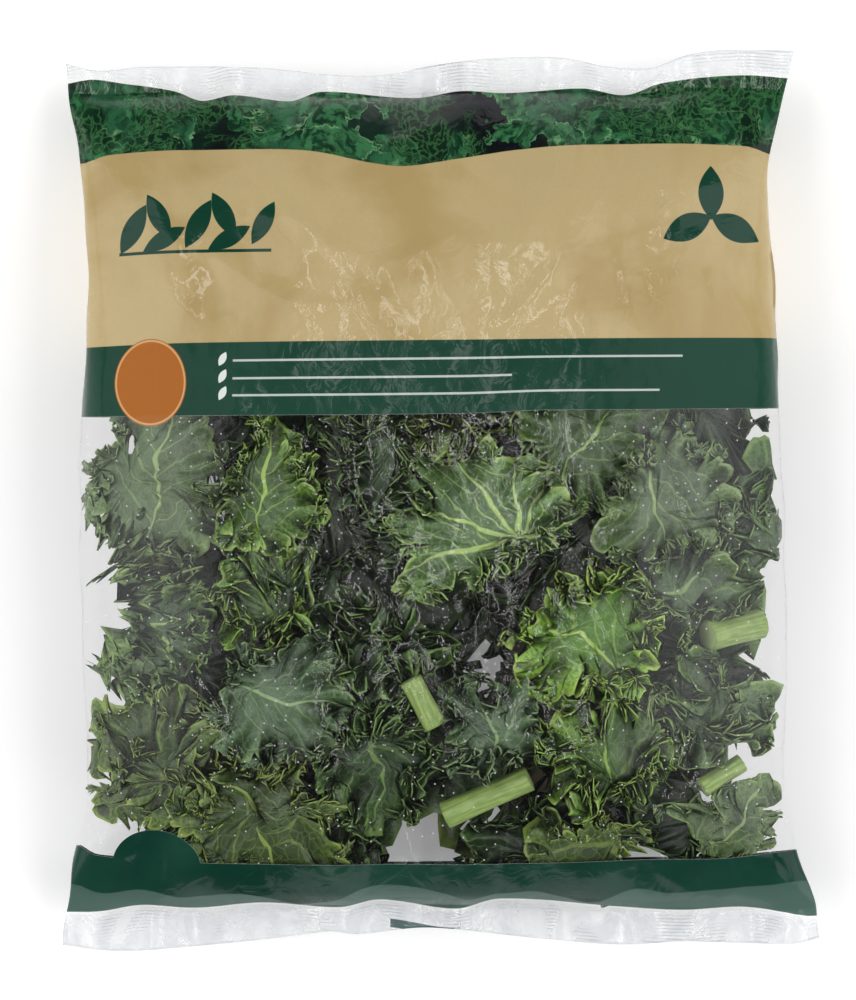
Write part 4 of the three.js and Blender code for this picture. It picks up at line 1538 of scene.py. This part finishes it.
        def place(s: np.ndarray, t: np.ndarray) -> tuple[np.ndarray, dict]:
            """Points and maps of the fan."""
            share = 0.4 * t + 0.6 * (1 - (1 - t) ** 2)
            across = 2 * s - 1
            angle = across * half_span
            lobed = 1 + 0.16 * wander(s, draw)
            radius = share * reach * np.sqrt(np.clip(np.cos(across * 1.3), 0.05, 1)) * lobed
            sheet = Sheet(
                origin, heading + angle, radius, share, s, 0.4 * MM + lift * share**1.3,
                2 * half_span * reach, False, 0.05, self.fan_pitch, 0.66 * self.ruffles.height, 2,
            )
            spots, crest = self.ruffled(bone, sheet, draw)
            blade = columns(radius * np.cos(angle), radius * np.sin(angle))
            tone = columns(np.full_like(s, bright), np.zeros_like(s))
            return spots, {"blade": blade, "frill": columns(0.3 + 0.7 * share, crest), "tone": tone}

        return sheet_mesh("fan", *self.fan_cells[self.fine], place)

    def opened(self, mesh: bpy.types.Mesh) -> bpy.types.Mesh:
        """Opens the gaps in the pile.

        Args:
            mesh: The piece's mesh.

        Returns:
            The same mesh without the faces that bridge a gap.
        """
        flat = np.empty(len(mesh.polygons) * 3)
        mesh.polygons.foreach_get("center", flat)
        x, y = flat[0::3], flat[1::3]
        shut = np.zeros(len(x), dtype=bool)
        rough = 1 + 0.3 * swell(x, y, self.gap_wave, self.gap_seed + 1)
        for gap_x, gap_y, gap in PILE_GAPS:
            shut |= np.hypot(x - gap_x * MM, y - gap_y * MM) < gap * MM * rough
        work = bmesh.new()
        work.from_mesh(mesh)
        work.faces.ensure_lookup_table()
        bmesh.ops.delete(work, geom=[work.faces[i] for i in np.flatnonzero(shut)], context="FACES")
        work.to_mesh(mesh)
        work.free()
        return mesh

    def build(self, material: bpy.types.Material, slot: str) -> bpy.types.Object:
        """Builds the leaf piece in its node's place.

        Args:
            material: The leaf's finish.
            slot: The record's material slot; not used.

        Returns:
            The piece.
        """
        bone = Skeleton.read(self.name, self.look.rib)
        size = float(np.mean(bone.reach)) / (27 * MM)
        count = max(round(self.ruffles.fans * self.fan_share[self.fine] * size**1.5), 4)
        sheets = [self.blade(bone), *(self.fan(bone, k, count) for k in range(count))]
        piece = add_piece(self.opened(joined(f"{self.name}_cut", sheets)), [material], self.name)
        give_wall(piece, self.wall)
        return piece


@dataclass(frozen=True)
class Kale:
    """All the leaf pieces in the bag."""

    form: FilmForm
    finishes: tuple[LeafFinish, ...] = (
        LeafFinish(
            "pale", ink(32, 50, 24), ink(80, 102, 62), ink(112, 140, 78), ink(148, 172, 110), bloom=0.28
        ),
        LeafFinish(
            "dusky", ink(16, 32, 12), ink(60, 88, 44), ink(102, 136, 66), ink(146, 174, 100), bloom=0.22
        ),
        LeafFinish("blue", ink(18, 38, 22), ink(62, 90, 58), ink(98, 130, 80), ink(140, 166, 114), bloom=0.3),
        LeafFinish(
            "fresh", ink(14, 36, 4), ink(60, 96, 28), ink(114, 158, 52), ink(162, 192, 92), bloom=0.16
        ),
        LeafFinish(
            "bright", ink(24, 54, 6), ink(82, 130, 30), ink(140, 186, 58), ink(182, 210, 98), bloom=0.14
        ),
        # Painted shade: a darker copy of the leaf for pieces lying deep in the pile
        LeafFinish("dark", ink(8, 18, 6), ink(38, 64, 28), ink(78, 114, 50), ink(124, 156, 82), bloom=0.12),
        LeafFinish("olive", ink(16, 28, 8), ink(56, 78, 30), ink(98, 126, 50), ink(154, 176, 82), bloom=0.1),
        LeafFinish(
            "central", ink(28, 56, 20), ink(76, 108, 58), ink(104, 146, 62), ink(172, 200, 114),
            1.8 * MM, 0.9, 1.0, 0.2,
        ),
        # Painted shade: near-black copies of the leaf for the pieces under the front layer
        LeafFinish("shade", ink(6, 13, 5), ink(32, 54, 24), ink(62, 94, 42), ink(102, 134, 68), bloom=0.06),
        LeafFinish("inner", ink(4, 11, 4), ink(24, 42, 18), ink(42, 66, 32), ink(78, 104, 56), bloom=0.05),
    )
    slots: tuple = (
        ("pale", "leaf_dusky"), ("dusky", "leaf_dusky"), ("blue", "leaf_dusky"), ("fresh", "leaf_fresh"),
        ("bright", "leaf_fresh"), ("dark", "leaf_dark"), ("olive", "leaf_olive"), ("central", "leaf_dusky"),
        ("shade", "leaf_dark"), ("inner", "leaf_dark"),
    )
    front: tuple[LeafLook, ...] = (
        LeafLook("pale", Growth.BROAD, 78, 3.0, 1.0, 0.1),
        LeafLook("fresh", Growth.BROAD, 82, 2.5, 2.5, 0.0, (1, 20), ((150, 12), (24, 11))),
        LeafLook("dark", Growth.TUFTED, 200, 3.0, -0.5),
        LeafLook("central", Growth.BROAD, 96, 3.5, 2.5, 0.0, (13, -1), ((-63, 9),)),
        LeafLook("dusky", Growth.BROAD, 55, 3.0, 0.5, 0.2),
        LeafLook("pale", Growth.BROAD, 280, 3.0, 1.5, 0.3, (-9, 14)),
        LeafLook("dark", Growth.TUFTED, 80, 1.5, 0.0),
        LeafLook("fresh", Growth.TUFTED, 300, 3.0, 0.5),
        LeafLook("dusky", Growth.BROAD, 95, 2.5, 1.0, 0.2),
        LeafLook("blue", Growth.BROAD, 350, 3.0, 1.5, 0.2),
        LeafLook("dark", Growth.TUFTED, 260, 2.0, -1.0),
        LeafLook("bright", Growth.CURLED, 150, 3.5, 2.5, 0.2),
        LeafLook("dusky", Growth.CURLED, 30, 2.5, 0.0),
        LeafLook("blue", Growth.BROAD, 95, 1.5, 1.0, 0.35),
        LeafLook("olive", Growth.TUFTED, 75, 6.0, 0.0, 0.1, shift=(-2, -5)),
        LeafLook("olive", Growth.CURLED, 305, 4.0, 0.5, 0.1, shift=(-3, -3)),
        LeafLook("dark", Growth.CURLED, 268, 2.0, 0.0),
        LeafLook("fresh", Growth.CURLED, 100, 2.0, 0.5),
        LeafLook("dusky", Growth.TUFTED, 240, 2.5, 0.0, 0.1),
        LeafLook("pale", Growth.CURLED, 60, 4.5, 1.0, shift=(4, -3)),
        LeafLook("olive", Growth.TUFTED, 170, 3.0, 0.0, shift=(1, -4)),
        LeafLook("olive", Growth.TUFTED, 262, 2.0, 0.0),
    )
    # Pieces below the front ones: first and last number, finish, growth, and how fine they are
    # The shade, inner and dark finishes paint the shade of lying under other pieces
    hidden: tuple[tuple[int, int, str, Growth, int], ...] = (
        (23, 25, "dusky", Growth.TUFTED, 0), (26, 36, "shade", Growth.TUFTED, 1),
        (37, 45, "inner", Growth.CURLED, 0), (46, 51, "dark", Growth.CURLED, 0),
        (52, 55, "olive", Growth.CURLED, 0),
    )
    front_fine: int = 2
    seed: int = 900

    def build(self) -> list[bpy.types.Object]:
        """Builds all the leaf pieces, front layer first."""
        skin = leaf_skin_group()
        materials = {finish.name: finish.material(skin) for finish in self.finishes}
        slots = dict(self.slots)
        looks = [(number, look, self.front_fine) for number, look in enumerate(self.front, 1)]
        for first, last, finish, growth, fine in self.hidden:
            look = LeafLook(finish, growth, spread=-1.0)
            looks += [(number, look, fine) for number in range(first, last + 1)]
        pieces = []
        for number, look, fine in looks:
            piece = LeafPiece(f"kale_leaf_{number:02d}", look, self.form, fine, self.seed + number)
            pieces.append(piece.build(materials[look.finish], slots[look.finish]))
        return pieces


@dataclass(frozen=True)
class StemFinish:
    """Pale green stem, fibrous along its length, lighter where it is cut."""

    skin: Colour = ink(150, 172, 96)
    shade: Colour = ink(122, 150, 74)
    patch: Colour = ink(104, 136, 60)
    flesh: Colour = ink(176, 196, 132)

    def material(self) -> bpy.types.Material:
        """The stem's material."""
        material, g, surface = new_material("stem")
        place = g.uv("skin")
        streaks = g.node("ShaderNodeMapping", {"Vector": place, "Scale": (1.0, 0.12, 1.0)}).outputs[0]
        fibre = g.noise(streaks, 900, 3, 0.3)
        colour = g.blend(g.rise(fibre, 0.35, 0.65), self.skin, self.shade)
        colour = g.blend(g.rise(g.noise(place, 120, 2), 0.45, 0.7, 0.0, 0.4), colour, self.patch)
        colour = g.blend(g.rise(g.parts(g.uv("cut"))[0], 0.4, 0.9), colour, self.flesh)
        bump = g.node("ShaderNodeBump", {"Height": fibre, "Strength": 0.5, "Distance": 0.4 * MM})
        shader = g.node(
            "ShaderNodeBsdfPrincipled",
            {
                "Base Color": colour, "Roughness": g.rise(fibre, 0.3, 0.7, 0.34, 0.5),
                "Normal": bump.outputs[0], "Specular IOR Level": 0.45,
            },
        )
        g.feed(surface, shader.outputs[0])
        return material


@dataclass(frozen=True)
class CutStem:
    """One cut piece of stem: ribbed skin, and a sunken ring at each cut end."""

    name: str
    sides: int = 64
    cells_along: int = 28
    ribs: int = 9
    rib_depth: float = 0.035
    cap: float = 0.14

    def build(self, material: bpy.types.Material) -> bpy.types.Object:
        """Builds the stem piece in its node's place.

        Args:
            material: The stem's finish.

        Returns:
            The piece.
        """
        points = np.array([v.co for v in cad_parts[self.name].data.vertices])
        middle = (points.max(0) + points.min(0)) / 2
        axis = np.linalg.svd(points - points.mean(0), full_matrices=False)[2][0]
        side = np.cross(axis, (0.0, 0.0, 1.0))
        side /= np.linalg.norm(side)
        up = np.cross(side, axis)
        run = (points - middle) @ axis
        half = (run.max() - run.min()) / 2
        off = np.hypot((points - middle) @ side, (points - middle) @ up)
        radii = [float(off[run < 0].max()), float(off[run > 0].max())]
        phase = float(np.random.default_rng(int(self.name[-1]) * 17).uniform(0, TAU))

        def place(s: np.ndarray, t: np.ndarray) -> tuple[np.ndarray, dict]:
            """Points of the skin, from the middle of one cut end over the side to the other."""
            body = np.clip((t - self.cap) / (1 - 2 * self.cap), 0, 1)
            radius = radii[0] + (radii[1] - radii[0]) * body
            inward = np.clip(np.minimum(t, 1 - t) / self.cap, 0, 1)
            ribbed = 1 - self.rib_depth * (1 + np.cos(self.ribs * TAU * s + phase)) / 2
            r = radius * inward**0.8 * (1 - 0.05 * np.sin(math.pi * body)) * ribbed
            bowl = 0.5 * MM * np.cos(inward * math.pi / 2) + 0.2 * MM * np.sin(inward * 9)
            sink = np.where(inward < 1, bowl, 0)
            lie = (2 * body - 1) * (half - 0.1 * MM) - np.sign(t - 0.5) * sink
            angle = TAU * s
            spots = middle + np.outer(lie, axis) + np.outer(r * np.cos(angle), side)
            spots += np.outer(r * np.sin(angle), up)
            cut = columns(np.where(inward < 0.93, 1.0, 0.0), inward)
            return spots, {"skin": columns(angle * radius, lie), "cut": cut}

        mesh = joined(f"{self.name}_cut", [sheet_mesh("stem", self.sides, self.cells_along, place)], 2e-6)
        work = bmesh.new()
        work.from_mesh(mesh)
        bmesh.ops.recalc_face_normals(work, faces=work.faces)
        work.to_mesh(mesh)
        work.free()
        return add_piece(mesh, [material], self.name)


# The studio


@dataclass(frozen=True)
class Studio:
    """Floor, softboxes and camera."""

    floor_half: float = 4.0
    camera_at: tuple[float, float, float] = (-5.0 * MM, 0.2 * MM, 3.025)
    lens: float = 304.2
    # Softboxes: angle from straight up in degrees (+ right), width across, length, radiance
    panels: tuple = ((52, 1.55, 2.4, 1.62), (-52, 1.55, 2.4, 1.5))
    # Strips that only mirror in the film, as for the softboxes
    strips: tuple = ((12, 0.09, 2.4, 10.0), (-9, 0.09, 2.4, 11.0))
    distance: float = 1.5
    sky: float = 0.38
    floor_glow: float = 0.23
    sky_seen: float = 1.0
    sky_mirrored: float = 0.03

    def build(self) -> None:
        """Sets the stage round the object."""
        self.build_floor()
        for number, (lean, width, length, radiance) in enumerate((*self.panels, *self.strips)):
            lamp = bpy.data.lights.new(f"softbox_{number + 1}", "AREA")
            lamp.shape = "RECTANGLE"
            lamp.size, lamp.size_y = width, length
            lamp.energy = radiance * math.pi * width * length
            holder = bpy.data.objects.new(lamp.name, lamp)
            angle = math.radians(lean)
            holder.location = (self.distance * math.sin(angle), 0, self.distance * math.cos(angle))
            holder.rotation_euler = (0, angle, 0)
            holder.visible_camera = False
            holder.visible_diffuse = number < len(self.panels)
            bpy.context.scene.collection.objects.link(holder)
        world = bpy.data.worlds.new("studio")
        world.use_nodes = True
        g = Graph(world.node_tree)
        path = g.node("ShaderNodeLightPath")
        strength = self.sky
        for ray, level in (("Is Camera Ray", self.sky_seen), ("Is Glossy Ray", self.sky_mirrored)):
            strength = g.sum("MULTIPLY_ADD", path.outputs[ray], level - self.sky, strength)
        backdrop = g.node("ShaderNodeBackground", {"Color": (1, 1, 1, 1), "Strength": strength})
        g.feed(g.node("ShaderNodeOutputWorld").inputs["Surface"], backdrop.outputs[0])
        bpy.context.scene.world = world
        camera = bpy.data.cameras.new("camera")
        camera.sensor_width = 36
        camera.lens = self.lens
        holder = bpy.data.objects.new("camera", camera)
        holder.location = self.camera_at
        bpy.context.scene.collection.objects.link(holder)
        bpy.context.scene.camera = holder
        bpy.context.scene.view_settings.view_transform = "Standard"

    def build_floor(self) -> None:
        """The pale floor that the bag lies on."""
        material, g, surface = new_material("floor")
        place = g.node("ShaderNodeTexCoord").outputs["Object"]
        tone = g.blend(g.rise(g.noise(place, 9, 3), 0.3, 0.7), ink(247, 247, 247), ink(250, 250, 250))
        shader = g.node(
            "ShaderNodeBsdfPrincipled",
            {
                "Base Color": tone, "Roughness": 0.8, "Specular IOR Level": 0.1,
                "Emission Color": tone, "Emission Strength": self.floor_glow,
            },
        )
        g.feed(surface, shader.outputs[0])
        ground = bmesh.new()
        bmesh.ops.create_grid(ground, x_segments=1, y_segments=1, size=self.floor_half)
        mesh = bpy.data.meshes.new("floor")
        ground.to_mesh(mesh)
        ground.free()
        mesh.materials.append(material)
        floor = bpy.data.objects.new("floor", mesh)
        bpy.context.scene.collection.objects.link(floor)


def main() -> None:
    """Builds the bag, its kale and the studio, and reports each piece."""
    logging.basicConfig(level=logging.INFO, format="%(name)s: %(message)s")
    form = FilmForm()
    Studio().build()
    groups = {
        "leaf": leaf_mark_group(), "block": block_mark_group(),
        "disc": disc_mark_group(), "foliage": foliage_print_group(),
    }
    FilmBag(form, FilmFinish(PrintLayout())).build(groups)
    Kale(form).build()
    stem = StemFinish().material()
    for number in range(1, STEMS + 1):
        CutStem(f"cut_stem_{number}").build(stem)


if __name__ == "__main__":
    main()
